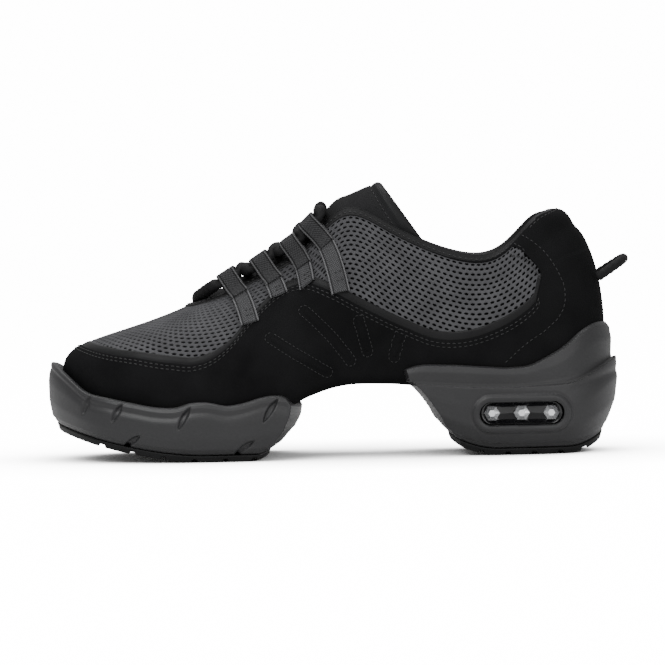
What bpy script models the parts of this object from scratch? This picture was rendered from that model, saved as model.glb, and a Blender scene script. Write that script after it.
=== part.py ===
"""Split-sole dance sneaker, one left shoe, standing empty on its two sole units.

Metres, +Z up. The toe points along -X, the outer side of the foot is -Y, and the origin is on the
floor under the middle of the heel. The upper is a band of Bezier profiles that runs round the foot,
from the feather edge up to the collar and throat, and every other piece is worked out from it.
"""

import bmesh
import bpy
import numpy as np

MM = 0.001

# Driving sizes of the upper
UPPER_LENGTH = 247.5 * MM
BALL_WIDTH = 89.0 * MM
UPPER_HEIGHT = 84.6 * MM
HEEL_BACK_X = 42.0 * MM
HEEL_SEAT = 28.0 * MM
BALL_SEAT = 15.0 * MM
TOE_SPRING = 12.0 * MM
ARCH_RISE = 6.0 * MM
FEATHER_RADIUS = 6.0 * MM
WALL = 2.6 * MM
COLLAR_PAD = 2.6 * MM
MESH_RECESS = 0.8 * MM
BINDING = 4.0 * MM
LASTING_MARGIN = 11.0 * MM
GAP = 0.3 * MM

# Driving sizes of the two sole units
FOREFOOT_FLARE = 5.0 * MM
TOE_BUMPER = 1.0 * MM
HEEL_FLARE = 4.2 * MM
OUTSOLE = 3.0 * MM
OUTSOLE_INSET = 1.8 * MM
TREAD_DEPTH = 1.5 * MM
TREAD_WIDTH = 2.6 * MM
SOLE_TOE_LIFT = 15.5 * MM
TOE_SPRING_X = -140 * MM
TOE_SPRING_RUN = 72 * MM
BALL_BACK_X = -118 * MM
BALL_BACK_RUN = 18 * MM
BALL_BACK_LIFT = 3.5 * MM
HEEL_FRONT_X = -6 * MM
HEEL_FRONT_RUN = 28 * MM
HEEL_FRONT_LIFT = 10.5 * MM
HEEL_CURVE_X = 25 * MM
HEEL_CURVE_RUN = 25 * MM
HEEL_CURVE_LIFT = 13 * MM
SHELF_STEP = 2.0 * MM
SLASH_DEPTH = 1.3 * MM
WINDOW_LENGTH = 38.6 * MM
WINDOW_HEIGHT = 11.0 * MM
WINDOW_X = 4.5 * MM
WINDOW_Z = 19.0 * MM
CAPSULE_WIDTH = 7.6 * MM
CAPSULE_PITCH = 13.5 * MM
CUT_REACH = 60 * MM
CUSHION_REACH = 0.339 * BALL_WIDTH

# Driving sizes of what is on and in the upper
INSOLE = 3.5 * MM
TONGUE = 4.0 * MM
TONGUE_TOP_X = -57.5 * MM
TONGUE_TOP_Z = 125.5 * MM
TONGUE_SIDE_X = -38.5 * MM
TONGUE_SIDE_Y = 17.5 * MM
TONGUE_SIDE_Z = 102.0 * MM
LACE_DIAMETER = 3.8 * MM
LACE_RISE = 2.6 * MM
LOOP_PLAY = 1.15 * MM
LACE_TOP_BACK = 3.8 * MM
STRAP_WIDTH = 8.6 * MM
STRAP = 1.0 * MM
STRAP_FOLD = 8.0 * MM
STRAP_SEAT = 0.6 * MM
STRAP_HEAD = 0.97
PULL_CORD = 4.4 * MM
PULL_LENGTH = 16.0 * MM
PULL_STATION = 0.75
PULL_SHARE = 0.42
PULL_LEAN = np.radians(33)
PULL_SEAT = 1.3 * MM

# How finely the pieces are faceted
ROUND = 48
SIDE_STEPS = (0.0, 0.1, 0.2, 0.32, 0.44, 0.56, 0.68, 0.79, 0.9, 1.0)
CORNER_STEPS = (-1.0, -0.5)
CAP_COLUMNS = 4

# One row for each station from the heel's middle to the toe's middle. base and top give the place
# along the length from the heel, as shares of UPPER_LENGTH. outer, inner and mouth are half widths,
# as shares of half of BALL_WIDTH. rise is the top line above the heel seat, and the last four are
# the profile's two handles, all as shares of UPPER_HEIGHT.
STATION_COLUMNS = (
    "base", "outer", "inner", "top", "mouth", "rise", "low_out", "low_up", "high_out", "high_down"
)
STATIONS = (
    (0.000, 0.000, 0.000, 0.093, 0.00, 0.980, 0.083, 0.44, 0.215, -0.01),
    (0.018, 0.340, 0.340, 0.099, 0.25, 0.970, 0.083, 0.44, 0.190, 0.01),
    (0.061, 0.570, 0.565, 0.125, 0.42, 0.935, 0.080, 0.40, 0.150, 0.06),
    (0.129, 0.685, 0.675, 0.166, 0.52, 0.815, 0.075, 0.32, 0.105, 0.14),
    (0.222, 0.710, 0.695, 0.222, 0.58, 0.742, 0.072, 0.26, 0.070, 0.20),
    (0.315, 0.700, 0.640, 0.307, 0.57, 0.800, 0.070, 0.28, 0.085, 0.22),
    (0.412, 0.722, 0.600, 0.396, 0.49, 0.930, 0.070, 0.32, 0.120, 0.26),
    (0.493, 0.780, 0.615, 0.474, 0.40, 1.000, 0.070, 0.34, 0.160, 0.24),
    (0.574, 0.880, 0.720, 0.549, 0.36, 0.806, 0.072, 0.34, 0.185, 0.18),
    (0.655, 0.965, 0.875, 0.622, 0.33, 0.672, 0.075, 0.32, 0.205, 0.13),
    (0.739, 1.000, 0.985, 0.691, 0.29, 0.572, 0.078, 0.29, 0.225, 0.09),
    (0.816, 0.955, 0.995, 0.731, 0.23, 0.530, 0.082, 0.29, 0.270, 0.10),
    (0.897, 0.800, 0.900, 0.747, 0.16, 0.515, 0.094, 0.30, 0.360, 0.15),
    (0.954, 0.510, 0.620, 0.754, 0.08, 0.512, 0.100, 0.31, 0.440, 0.19),
    (0.991, -0.050, 0.050, 0.756, 0.00, 0.511, 0.104, 0.31, 0.480, 0.215),
)

# The seat under the foot: along is a share of UPPER_LENGTH from the heel, and the others say how
# much of HEEL_SEAT, TOE_SPRING and ARCH_RISE is in the height there.
SEAT_COLUMNS = ("along", "heel", "spring", "arch")
SEAT = (
    (-0.05, 1.00, 0.00, 0.00),
    (0.10, 1.00, 0.00, 0.00),
    (0.28, 1.00, 0.00, 0.35),
    (0.40, 1.00, 0.00, 0.85),
    (0.48, 0.95, 0.00, 0.85),
    (0.54, 0.70, 0.00, 0.60),
    (0.60, 0.28, 0.00, 0.20),
    (0.67, 0.02, 0.00, 0.00),
    (0.78, 0.00, 0.06, 0.00),
    (0.88, 0.00, 0.34, 0.00),
    (0.95, 0.00, 0.68, 0.00),
    (1.03, 0.00, 1.10, 0.00),
)

# The suede's upper edge where the mesh panel starts, and the rear end of that panel above it. along
# is a share of UPPER_LENGTH from the heel, rise a share of UPPER_HEIGHT above HEEL_SEAT.
SUEDE_EDGE = (
    (0.104, 0.580),
    (0.120, 0.505),
    (0.154, 0.417),
    (0.202, 0.343),
    (0.253, 0.301),
    (0.305, 0.303),
    (0.365, 0.371),
    (0.443, 0.485),
    (0.499, 0.573),
    (0.545, 0.617),
    (0.590, 0.572),
    (0.637, 0.449),
    (0.683, 0.299),
    (0.714, 0.229),
    (0.745, 0.200),
    (0.791, 0.206),
    (0.853, 0.233),
    (0.909, 0.258),
    (0.975, 0.305),
)
PANEL_BACK = ((0.104, 0.590), (0.111, 0.667), (0.128, 0.728), (0.158, 0.780), (0.30, 1.2))

# Where each webbing loop leaves the suede and where it reaches the throat
LOOP_COLUMNS = ("foot_along", "foot_rise", "head_along", "head_rise")
LACE_LOOPS = (
    (0.647, 0.400, 0.675, 0.600),
    (0.592, 0.545, 0.622, 0.715),
    (0.540, 0.600, 0.568, 0.815),
    (0.478, 0.560, 0.520, 0.900),
)

# The forefoot unit's upper edge and the heel unit's upper edge: along is a share of UPPER_LENGTH
# from the heel, height a share of HEEL_SEAT above the floor.
FOREFOOT_EDGE = (
    (0.560, 0.950),
    (0.585, 1.040),
    (0.605, 1.060),
    (0.630, 1.030),
    (0.655, 0.965),
    (0.688, 0.915),
    (0.730, 0.975),
    (0.758, 0.965),
    (0.785, 0.900),
    (0.817, 0.905),
    (0.859, 0.970),
    (0.907, 1.060),
    (0.952, 1.168),
    (0.985, 1.400),
    (1.030, 1.720),
)
HEEL_EDGE = (
    (-0.030, 2.020),
    (0.000, 2.120),
    (0.038, 2.000),
    (0.070, 1.770),
    (0.109, 1.570),
    (0.134, 1.470),
    (0.172, 1.430),
    (0.217, 1.450),
    (0.290, 1.490),
    (0.345, 1.480),
    (0.375, 1.400),
)
HEEL_SHELF = ((-0.03, 1.560), (0.00, 1.420), (0.04, 1.230), (0.125, 1.140), (0.215, 1.130), (0.36, 1.20))

# The wall of a sole unit from the floor side up: part of the wall's height, how far the wall
# stands out past the flare, and how far its arch end lies from its furthest point.
WALL_COLUMNS = ("height", "out", "end")
FOREFOOT_WALL = (
    (0.00, -3.4 * MM, 15.0 * MM),
    (0.07, -0.9 * MM, 10.0 * MM),
    (0.32, 0.5 * MM, 3.8 * MM),
    (0.62, 0.7 * MM, 0.8 * MM),
    (0.86, 0.0 * MM, 0.0 * MM),
    (0.97, -0.9 * MM, 2.4 * MM),
    (1.00, -2.3 * MM, 5.0 * MM),
)
HEEL_WALL = (
    (0.00, -6.0 * MM, 24.0 * MM),
    (0.08, -2.8 * MM, 18.0 * MM),
    (0.24, 0.6 * MM, 15.0 * MM),
    (0.50, 1.9 * MM, 9.0 * MM),
    (0.76, 1.3 * MM, 3.6 * MM),
)
HEEL_COLLAR = (
    (0.06, -0.1 * MM, 1.6 * MM),
    (0.60, 0.3 * MM, 0.8 * MM),
    (0.92, -0.6 * MM, 0.0 * MM),
    (1.00, -2.2 * MM, 1.2 * MM),
)
FOREFOOT_END_X = -99.9 * MM
HEEL_END_X = -47.9 * MM
END_BULGE = 5.0 * MM

# Slanting slashes in the forefoot unit's side: middle along the length and height as shares of
# UPPER_LENGTH and HEEL_SEAT, then length and lean in degrees.
SLASH_COLUMNS = ("along", "height", "length", "lean")
SLASHES = (
    (0.950, 0.92, 9.0 * MM, 68.0),
    (0.893, 0.80, 9.0 * MM, 62.0),
    (0.770, 0.70, 11.0 * MM, 62.0),
    (0.612, 0.80, 12.0 * MM, 58.0),
    (0.868, 0.32, 10.0 * MM, 40.0),
    (0.662, 0.20, 11.0 * MM, 38.0),
)
FOREFOOT_TREAD = (-186.0, -172.0, -158.0, -144.0, -130.0, -117.0)
HEEL_TREAD = (-14.0, -2.0, 10.0, 22.0, 33.0)

COLOURS = {
    "suede": ((0.008, 0.008, 0.009), 0.95, 0.0),
    "mesh": ((0.055, 0.055, 0.058), 0.8, 0.0),
    "lining": ((0.012, 0.012, 0.012), 0.9, 0.0),
    "midsole": ((0.036, 0.036, 0.038), 0.55, 0.0),
    "outsole": ((0.012, 0.012, 0.013), 0.6, 0.0),
    "webbing": ((0.06, 0.06, 0.062), 0.7, 0.0),
    "lace": ((0.006, 0.006, 0.007), 0.8, 0.0),
    "cushion": ((0.02, 0.02, 0.024), 0.15, 0.0),
    "capsule": ((0.72, 0.73, 0.75), 0.25, 1.0),
}


def columns(table, names):
    """The table's columns by name, as arrays."""
    values = np.array(table, float)
    return {name: values[:, i] for i, name in enumerate(names)}


def smooth_slopes(x, y):
    """Slopes of a curve through the points that never overshoots them."""
    step = np.diff(x)
    rate = np.diff(y) / step
    slope = np.zeros(len(x))
    slope[1:-1] = (rate[:-1] * step[1:] + rate[1:] * step[:-1]) / (step[:-1] + step[1:])
    slope[0], slope[-1] = rate[0], rate[-1]
    return slope


def smooth(x, table):
    """A smooth curve through a table of (x, y) rows, held straight outside them."""
    xs, ys = np.array(table, float).T
    slope = smooth_slopes(xs, ys)
    i = np.clip(np.searchsorted(xs, x) - 1, 0, len(xs) - 2)
    step = xs[i + 1] - xs[i]
    t = np.clip((x - xs[i]) / step, 0, 1)
    return (
        ys[i] * (1 + 2 * t) * (1 - t) ** 2
        + slope[i] * step * t * (1 - t) ** 2
        + ys[i + 1] * t * t * (3 - 2 * t)
        + slope[i + 1] * step * t * t * (t - 1)
    )


def along_to_x(share):
    return HEEL_BACK_X - share * UPPER_LENGTH


def x_to_along(x):
    return (HEEL_BACK_X - x) / UPPER_LENGTH


def seat_height(x):
    """Height of the upper's underside above the floor."""
    seat = columns(SEAT, SEAT_COLUMNS)
    along = x_to_along(x)

    def part(name):
        return smooth(along, list(zip(seat["along"], seat[name])))

    return (
        BALL_SEAT
        + part("heel") * (HEEL_SEAT - BALL_SEAT)
        + part("spring") * TOE_SPRING
        + part("arch") * ARCH_RISE
    )


def loop_rows():
    """The stations as one closed loop: heel, outer side, toe, inner side. Each row holds the base
    point, the top point and the four handle lengths."""
    s = columns(STATIONS, STATION_COLUMNS)
    half = BALL_WIDTH / 2
    handles = np.stack([s[n] * UPPER_HEIGHT for n in STATION_COLUMNS[6:]], axis=1)

    def side(width, sign):
        return np.column_stack(
            [
                along_to_x(s["base"]),
                sign * width * half,
                along_to_x(s["top"]),
                sign * s["mouth"] * half,
                HEEL_SEAT + s["rise"] * UPPER_HEIGHT,
                handles,
            ]
        )

    outer = side(s["outer"], -1)
    inner = side(s["inner"], 1)
    return np.concatenate([outer, inner[-2:0:-1]])


LOOP = loop_rows()
STATION_COUNT = len(LOOP)
TOE = STATION_COUNT // 2


def loop_slopes(rows):
    """Slopes of the closed curve through the rows whose bend is continuous too."""
    n = len(rows)
    links = 4 * np.eye(n) + np.roll(np.eye(n), 1, axis=0) + np.roll(np.eye(n), -1, axis=0)
    return np.linalg.solve(links, 3 * (np.roll(rows, -1, axis=0) - np.roll(rows, 1, axis=0)))


SLOPES = loop_slopes(LOOP)


def station(u):
    """The loop's row at any place u, counted in stations from the heel's middle."""
    i = np.floor(u).astype(int)
    t = (u - i)[..., None]
    a, b = i % STATION_COUNT, (i + 1) % STATION_COUNT
    return (
        LOOP[a] * (1 + 2 * t) * (1 - t) ** 2
        + SLOPES[a] * t * (1 - t) ** 2
        + LOOP[b] * t * t * (3 - 2 * t)
        + SLOPES[b] * t * t * (t - 1)
    )


def point(u, h):
    """A point of the upper's outer face: h is -1 under the foot's edge, 0 at the top of the
    rounded feather edge and 1 at the collar or throat."""
    u, h = np.broadcast_arrays(np.asarray(u, float), np.asarray(h, float))
    step = 0.01
    row = station(u)
    run = station(u + step)[..., :2] - station(u - step)[..., :2]
    run /= np.linalg.norm(run, axis=-1, keepdims=True)
    out = np.stack([-run[..., 1], run[..., 0], np.zeros_like(u)], axis=-1)
    up = np.array([0.0, 0.0, 1.0])
    base = np.stack([row[..., 0], row[..., 1], seat_height(row[..., 0])], axis=-1)
    top = row[..., 2:5]
    low_out, low_up, high_out, high_down = (row[..., k, None] for k in (5, 6, 7, 8))
    start = base + FEATHER_RADIUS * up
    t = np.clip(h, 0, None)[..., None]
    low = start + low_out * out + low_up * up
    high = top + high_out * out - high_down * up
    side = (
        start * (1 - t) ** 3 + 3 * low * t * (1 - t) ** 2 + 3 * high * t * t * (1 - t) + top * t**3
    )
    turn = (1 + np.clip(h, -1, 0))[..., None] * np.pi / 2
    corner = base + FEATHER_RADIUS * ((np.sin(turn) - 1) * out + (1 - np.cos(turn)) * up)
    return np.where(h[..., None] >= 0, side, corner)


def surface(u, h, offset=0.0):
    """A point offset from the upper's outer face, outwards if offset is positive."""
    u, h = np.broadcast_arrays(np.asarray(u, float), np.asarray(h, float))
    e = 0.004
    along = point(u + e, h) - point(u - e, h)
    rise = point(u, np.minimum(h + e, 1.0)) - point(u, np.maximum(h - e, -1.0))
    normal = np.cross(rise, along)
    normal /= np.linalg.norm(normal, axis=-1, keepdims=True)
    return point(u, h) + np.asarray(offset)[..., None] * normal


def ring_places(count):
    """Places round the loop, evenly spaced along the base, with one at the heel and one at the toe."""
    half = []
    for start, end in ((0.0, TOE), (TOE, STATION_COUNT)):
        fine = np.linspace(start, end, 400)
        length = np.concatenate(
            [[0], np.cumsum(np.linalg.norm(np.diff(point(fine, 0.2), axis=0), axis=1))]
        )
        half.append(np.interp(np.linspace(0, length[-1], count // 2 + 1)[:-1], length, fine))
    return np.concatenate(half)


PLACES = ring_places(ROUND)


def height_at(u, table):
    """h where the profile at u crosses a side-view curve of (along, rise) rows."""
    h = np.linspace(0, 1, 241)
    result = []
    for place in np.atleast_1d(u):
        p = point(np.full_like(h, place), h)
        edge = HEEL_SEAT + smooth(x_to_along(p[:, 0]), table) * UPPER_HEIGHT
        above = p[:, 2] - edge
        crossing = np.nonzero((above[:-1] < 0) & (above[1:] >= 0))[0]
        if len(crossing):
            k = crossing[0]
            result.append(h[k] + (h[k + 1] - h[k]) * above[k] / (above[k] - above[k + 1]))
        else:
            result.append(1.0 if above[-1] < 0 else 0.0)
    return np.array(result)


def height_below_top(u, distance):
    """h at a distance below the collar or throat, measured along the profile."""
    h = np.linspace(1, 0, 241)
    result = []
    for place in np.atleast_1d(u):
        p = point(np.full_like(h, place), h)
        length = np.concatenate([[0], np.cumsum(np.linalg.norm(np.diff(p, axis=0), axis=1))])
        result.append(np.interp(distance, length, h))
    return np.array(result)


def place_of(along, rise, side):
    """(u, h) of the point of the outer face that shows at this place from the side."""
    low, high = (0.5, TOE - 0.5) if side < 0 else (TOE + 0.5, STATION_COUNT - 0.5)
    u, h = np.meshgrid(np.linspace(low, high, 281), np.linspace(0, 1, 161), indexing="ij")
    p = point(u, h)
    x, z = along_to_x(along), HEEL_SEAT + rise * UPPER_HEIGHT
    k = np.argmin((p[..., 0] - x) ** 2 + (p[..., 2] - z) ** 2)
    return u.flat[k], h.flat[k]


def collection(name):
    found = bpy.data.collections.new(name)
    bpy.context.scene.collection.children.link(found)
    return found


def material(name):
    colour, roughness, metallic = COLOURS[name]
    made = bpy.data.materials.get(name)
    if made is None:
        made = bpy.data.materials.new(name)
        made.use_nodes = True
        shader = made.node_tree.nodes["Principled BSDF"]
        shader.inputs["Base Color"].default_value = (*colour, 1.0)
        shader.inputs["Roughness"].default_value = roughness
        shader.inputs["Metallic"].default_value = metallic
    return made


def mesh_object(name, vertices, faces, group, finish=None):
    """A new object from corners and faces, with its normals turned outwards."""
    mesh = bpy.data.meshes.new(name)
    mesh.from_pydata([tuple(v) for v in vertices], [], faces)
    work = bmesh.new()
    work.from_mesh(mesh)
    bmesh.ops.recalc_face_normals(work, faces=work.faces[:])
    work.to_mesh(mesh)
    work.free()
    made = bpy.data.objects.new(name, mesh)
    group.objects.link(made)
    if finish:
        mesh.materials.append(material(finish))
    return made


def as_cutter(made):
    made.hide_render = True
    made.display_type = "WIRE"
    return made


def cap_faces(first, count, columns_across, corners):
    """Faces that close a ring whose heel and toe points are its first and middle ones, with rows of
    new corners laid straight across. Returns the new corners and the faces."""
    half = count // 2
    new, faces, rows = [], [], []
    start = first["next"]
    for i in range(1, half):
        a, b = corners[i], corners[count - i]
        row = [first["index"] + i]
        for c in range(1, columns_across):
            new.append(a + (b - a) * c / columns_across)
            row.append(start)
            start += 1
        row.append(first["index"] + count - i)
        rows.append(row)
    for low, high in zip(rows[:-1], rows[1:]):
        for c in range(columns_across):
            faces.append((low[c], low[c + 1], high[c + 1], high[c]))
    for row, tip in ((rows[0], first["index"]), (rows[-1], first["index"] + half)):
        for c in range(columns_across):
            faces.append((row[c], row[c + 1], tip))
    return new, faces


def ring_body(name, rings, group, finish=None, across=CAP_COLUMNS):
    """A solid from closed rings, one above the other, its first and last ring closed by caps."""
    count = len(rings[0])
    vertices = [p for ring in rings for p in ring]
    faces = []
    for r in range(len(rings) - 1):
        for i in range(count):
            j = (i + 1) % count
            faces.append(
                (r * count + i, r * count + j, (r + 1) * count + j, (r + 1) * count + i)
            )
    for index in (0, len(rings) - 1):
        spot = {"index": index * count, "next": len(vertices)}
        new, more = cap_faces(spot, count, across, rings[index])
        vertices.extend(new)
        faces.extend(more)
    return mesh_object(name, vertices, faces, group, finish)


def cut(made, cutter, operation="DIFFERENCE"):
    """Applies a Boolean, so that the next one works on its result."""
    modifier = made.modifiers.new("cut", "BOOLEAN")
    modifier.object = cutter
    modifier.operation = operation
    modifier.solver = "EXACT"
    graph = bpy.context.evaluated_depsgraph_get()
    result = bpy.data.meshes.new_from_object(made.evaluated_get(graph))
    made.modifiers.clear()
    made.data = result
    if operation == "UNION":
        bpy.data.objects.remove(cutter)
    return made


def foot_form(name, offset, top, group, places=PLACES):
    """The closed form inside a face that lies offset from the upper's outer face."""
    steps = [h for h in (*CORNER_STEPS, *SIDE_STEPS) if h <= top]
    rings = [surface(places, np.full(len(places), h), offset) for h in steps]
    return ring_body(name, rings, group)


def wall_at(u, h):
    """Thickness of the upper's wall: padded round the ankle, plain along the throat."""
    ankle = np.clip(1.0 - (np.minimum(u, STATION_COUNT - u) - 4.5) / 2.0, 0, 1)
    near_top = np.clip((h - 0.55) / 0.25, 0, 1) * np.clip((1.06 - h) / 0.14, 0, 1)
    return WALL + COLLAR_PAD * ankle * near_top


def build_upper(parts, cutters):
    """One hollow wall: outer face, rim, inner face, closed under the arch alone."""
    outer = [surface(PLACES, np.full(ROUND, h)) for h in (*CORNER_STEPS, *SIDE_STEPS)]
    inner = [
        surface(PLACES, np.full(ROUND, h), -wall_at(PLACES, h))
        for h in (*CORNER_STEPS, *SIDE_STEPS)
    ]
    made = ring_body("upper", outer + inner[::-1], parts, "suede")
    cut(made, mesh_panel(cutters))
    for name, low, high in (
        ("opening_forefoot", x_to_along(FOREFOOT_END_X) + 0.05, 0.98),
        ("opening_heel", 0.03, x_to_along(HEEL_END_X) - 0.07),
    ):
        cut(made, lasting_opening(name, low, high, cutters))
    return made


def mesh_panel(cutters):
    """The recess that holds the mesh: one band over the vamp and both quarters, set between the
    suede's edge and the binding."""
    rear = place_of(SUEDE_EDGE[0][0], SUEDE_EDGE[0][1] + 0.02, -1)[0] + 0.05
    fine = np.concatenate(
        [
            rear + np.array([0.0, 0.08, 0.2, 0.4]),
            np.linspace(rear + 0.75, 2 * TOE - rear - 0.75, 39),
            2 * TOE - rear - np.array([0.4, 0.2, 0.08, 0.0]),
        ]
    )
    low = height_at(fine, SUEDE_EDGE)
    binding = height_below_top(fine, BINDING)
    back = height_at(fine, PANEL_BACK)
    at_side = np.minimum(fine, STATION_COUNT - fine) < 5.5
    high = np.where(at_side, np.minimum(binding, back), binding)
    rows = 5
    grids = []
    for offset in (-MESH_RECESS, 4 * MM):
        share = np.linspace(0, 1, rows)[None, :]
        h = low[:, None] + (high - low)[:, None] * share
        grids.append(surface(np.repeat(fine[:, None], rows, axis=1), h, offset))
    return as_cutter(slab("mesh_panel", grids[0], grids[1], cutters))


def slab(name, low, high, group, finish=None):
    """A solid between two grids of the same size."""
    n, m = low.shape[:2]
    vertices = np.concatenate([low.reshape(-1, 3), high.reshape(-1, 3)])
    index = np.arange(n * m).reshape(n, m)
    faces = []
    for i in range(n - 1):
        for j in range(m - 1):
            quad = (index[i, j], index[i + 1, j], index[i + 1, j + 1], index[i, j + 1])
            faces.append(quad)
            faces.append(tuple(k + n * m for k in reversed(quad)))
    edge = [*index[:-1, 0], *index[-1, :-1], *index[:0:-1, -1], *index[0, :0:-1]]
    for a, b in zip(edge, edge[1:] + edge[:1]):
        faces.append((a, b, b + n * m, a + n * m))
    return mesh_object(name, vertices, [tuple(int(k) for k in f) for f in faces], group, finish)


def inset_loop(low, high, inset, count=32):
    """A closed plan outline inside the foot's base from along=low to along=high: heel end first,
    then the outer side, the toe end and the inner side."""
    half = count // 2
    turn = np.linspace(0, np.pi, half + 1)
    along = (low + high) / 2 - np.cos(turn) * (high - low) / 2
    sides = []
    for sign, start, end in ((-1, 0.0, TOE), (1, STATION_COUNT, TOE)):
        fine = np.linspace(start, end, 400)
        base = station(fine)
        order = np.argsort(-base[:, 0])
        sides.append(np.interp(along, x_to_along(base[order, 0]), base[order, 1]) - sign * inset)
    ease = np.sin(turn) ** 0.5
    middle = (sides[0] + sides[1]) / 2
    outer = middle + (sides[0] - middle) * ease
    inner = middle + (sides[1] - middle) * ease
    x = along_to_x(along)
    return np.concatenate(
        [np.column_stack([x, outer])[:-1], np.column_stack([x[::-1], inner[::-1]])[:-1]]
    )


def lasting_opening(name, low, high, cutters):
    """The hole in the upper's underside that a sole unit closes."""
    plan = inset_loop(low, high, LASTING_MARGIN)
    seat = seat_height(plan[:, 0])
    rings = [
        np.column_stack([plan, seat - 3 * MM]),
        np.column_stack([plan, seat + WALL + 3 * MM]),
    ]
    return as_cutter(ring_body(name, rings, cutters))


def build_insole(parts):
    """A flat insole on the upper's turned-in margin, from heel to toe."""
    drop = WALL + GAP
    base = surface(PLACES, np.full(ROUND, -1.0), -drop)
    edge = surface(PLACES, np.full(ROUND, -0.35), -drop)
    low = base.copy()
    middle = np.column_stack([edge[:, :2] * 0.35 + base[:, :2] * 0.65, base[:, 2] + INSOLE * 0.45])
    top = np.column_stack([middle[:, :2], base[:, 2] + INSOLE])
    return ring_body("insole", [low, middle, top], parts, "lining")


def sole_bottom(x):
    """The underside of the outsoles: flat under the ball and heel, lifted at toe, arch and back."""
    toe = np.clip((TOE_SPRING_X - x) / TOE_SPRING_RUN, 0, None)
    arch_front = np.clip((x - BALL_BACK_X) / BALL_BACK_RUN, 0, 1)
    heel_front = np.clip((HEEL_FRONT_X - x) / HEEL_FRONT_RUN, 0, None)
    heel_back = np.clip((x - HEEL_CURVE_X) / HEEL_CURVE_RUN, 0, None)
    front = SOLE_TOE_LIFT * toe**1.7 + BALL_BACK_LIFT * arch_front**2
    back = HEEL_FRONT_LIFT * heel_front**2 + HEEL_CURVE_LIFT * heel_back**2
    return np.where(x < (FOREFOOT_END_X + HEEL_END_X) / 2, front, back)


def unit_ring(flare, extra, end_x, back_side):
    """A closed ring round one sole unit: its arch end, the outer side, the heel or toe, and the
    inner side. flare and extra give how far it stands out from the foot, end_x where it meets the
    arch."""
    fine = np.linspace(0, TOE, 600) if back_side else np.linspace(TOE, 0, 600)
    sides = []
    for mirror in (False, True):
        u = (STATION_COUNT - fine) % STATION_COUNT if mirror else fine
        foot = point(u, 0.12)
        step = 0.02
        run = point(u + step, 0.12) - point(u - step, 0.12)
        out = np.column_stack([-run[:, 1], run[:, 0], np.zeros(len(u))])
        out /= np.linalg.norm(out, axis=1, keepdims=True)
        at_tip = np.clip((x_to_along(foot[:, 0]) - 0.86) / 0.12, 0, 1) * TOE_BUMPER
        place = foot + out * (flare + extra + at_tip)[:, None]
        place[:, 2] = 0
        keep = place[:, 0] > end_x if back_side else place[:, 0] < end_x
        sides.append(place[keep])
    per_side = ROUND // 2 - 5
    outer, inner = (resample(s, per_side + 1) for s in sides)
    tip = (outer[0] + inner[0]) / 2
    outer[0] = tip
    across = np.linspace(0, 1, 11)[1:-1, None]
    end = outer[-1] + (inner[-1] - outer[-1]) * across
    bulge = END_BULGE * np.sin(across[:, 0] * np.pi) * (-1 if back_side else 1)
    end[:, 0] += bulge
    middle = len(end) // 2
    loop = [*end[middle::-1], *outer[::-1], *inner[1:], *end[:middle:-1]]
    return np.array(loop)


def resample(points, count):
    length = np.concatenate([[0], np.cumsum(np.linalg.norm(np.diff(points, axis=0), axis=1))])
    at = np.linspace(0, length[-1], count)
    return np.column_stack([np.interp(at, length, points[:, k]) for k in range(3)])


def edge_height(x, table):
    return HEEL_SEAT * smooth(x_to_along(x), table)


def build_forefoot_midsole(parts, cutters):
    """The thick unit under ball and toes: wavy edge, toe bumper, slanting slashes."""
    wall = columns(FOREFOOT_WALL, WALL_COLUMNS)
    rings = []
    for height, out, end in zip(wall["height"], wall["out"], wall["end"]):
        ring = unit_ring(FOREFOOT_FLARE, np.full(600, out), FOREFOOT_END_X - end, False)
        bottom = sole_bottom(ring[:, 0]) + OUTSOLE + GAP
        top = edge_height(ring[:, 0], FOREFOOT_EDGE)
        ring[:, 2] = bottom + (top - bottom) * height
        rings.append(ring)
    rings.append(lip_ring(rings[-1]))
    made = ring_body("forefoot_midsole", rings, parts, "midsole")
    cut(made, as_cutter(foot_form("form_forefoot", GAP, 0.7, cutters)))
    for k, row in enumerate(SLASHES):
        for side in (-1, 1):
            cut(made, slash(f"slash_{k}_{side}", dict(zip(SLASH_COLUMNS, row)), side, cutters))
    return made


def lip_ring(edge):
    """A last ring just inside a sole unit's upper edge, where the foot's form cuts it away."""
    inner = edge.copy()
    centre = edge[:, :2].mean(axis=0)
    away = edge[:, :2] - centre
    reach = np.linalg.norm(away, axis=1, keepdims=True)
    inner[:, :2] = centre + away * (1 - 9 * MM / reach)
    return inner


def slash(name, row, side, cutters):
    """A slanting groove: a long thin six-sided bar laid in the side wall."""
    x = along_to_x(row["along"])
    z = HEEL_SEAT * row["height"]
    fine = unit_ring(FOREFOOT_FLARE, np.full(600, 0.6 * MM), FOREFOOT_END_X, False)
    one_side = fine[fine[:, 1] * side > 0]
    order = np.argsort(one_side[:, 0])
    y = np.interp(x, one_side[order, 0], one_side[order, 1])
    near = np.interp(x - 2 * MM, one_side[order, 0], one_side[order, 1])
    run = np.array([2 * MM, y - near, 0])
    run /= np.linalg.norm(run)
    out = np.array([run[1], -run[0], 0.0])
    out *= np.sign(out[1]) * side
    lean = np.radians(row["lean"])
    tilt = np.cos(lean) * run + np.sin(lean) * np.array([0, 0, 1.0])
    across = np.cross(out, tilt)
    rings = []
    for share, width in ((-0.5, 0.25), (-0.2, 1.0), (0.25, 0.9), (0.5, 0.3)):
        centre = np.array([x, y, z]) + out * (2.6 * MM - SLASH_DEPTH) + tilt * row["length"] * share
        turn = np.radians(np.arange(0, 360, 60))
        reach = (2.4 * np.sin(turn)[:, None] * out + 1.2 * width * np.cos(turn)[:, None] * across) * MM
        rings.append(centre + reach)
    return as_cutter(ring_body(name, rings, cutters, across=2))


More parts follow.
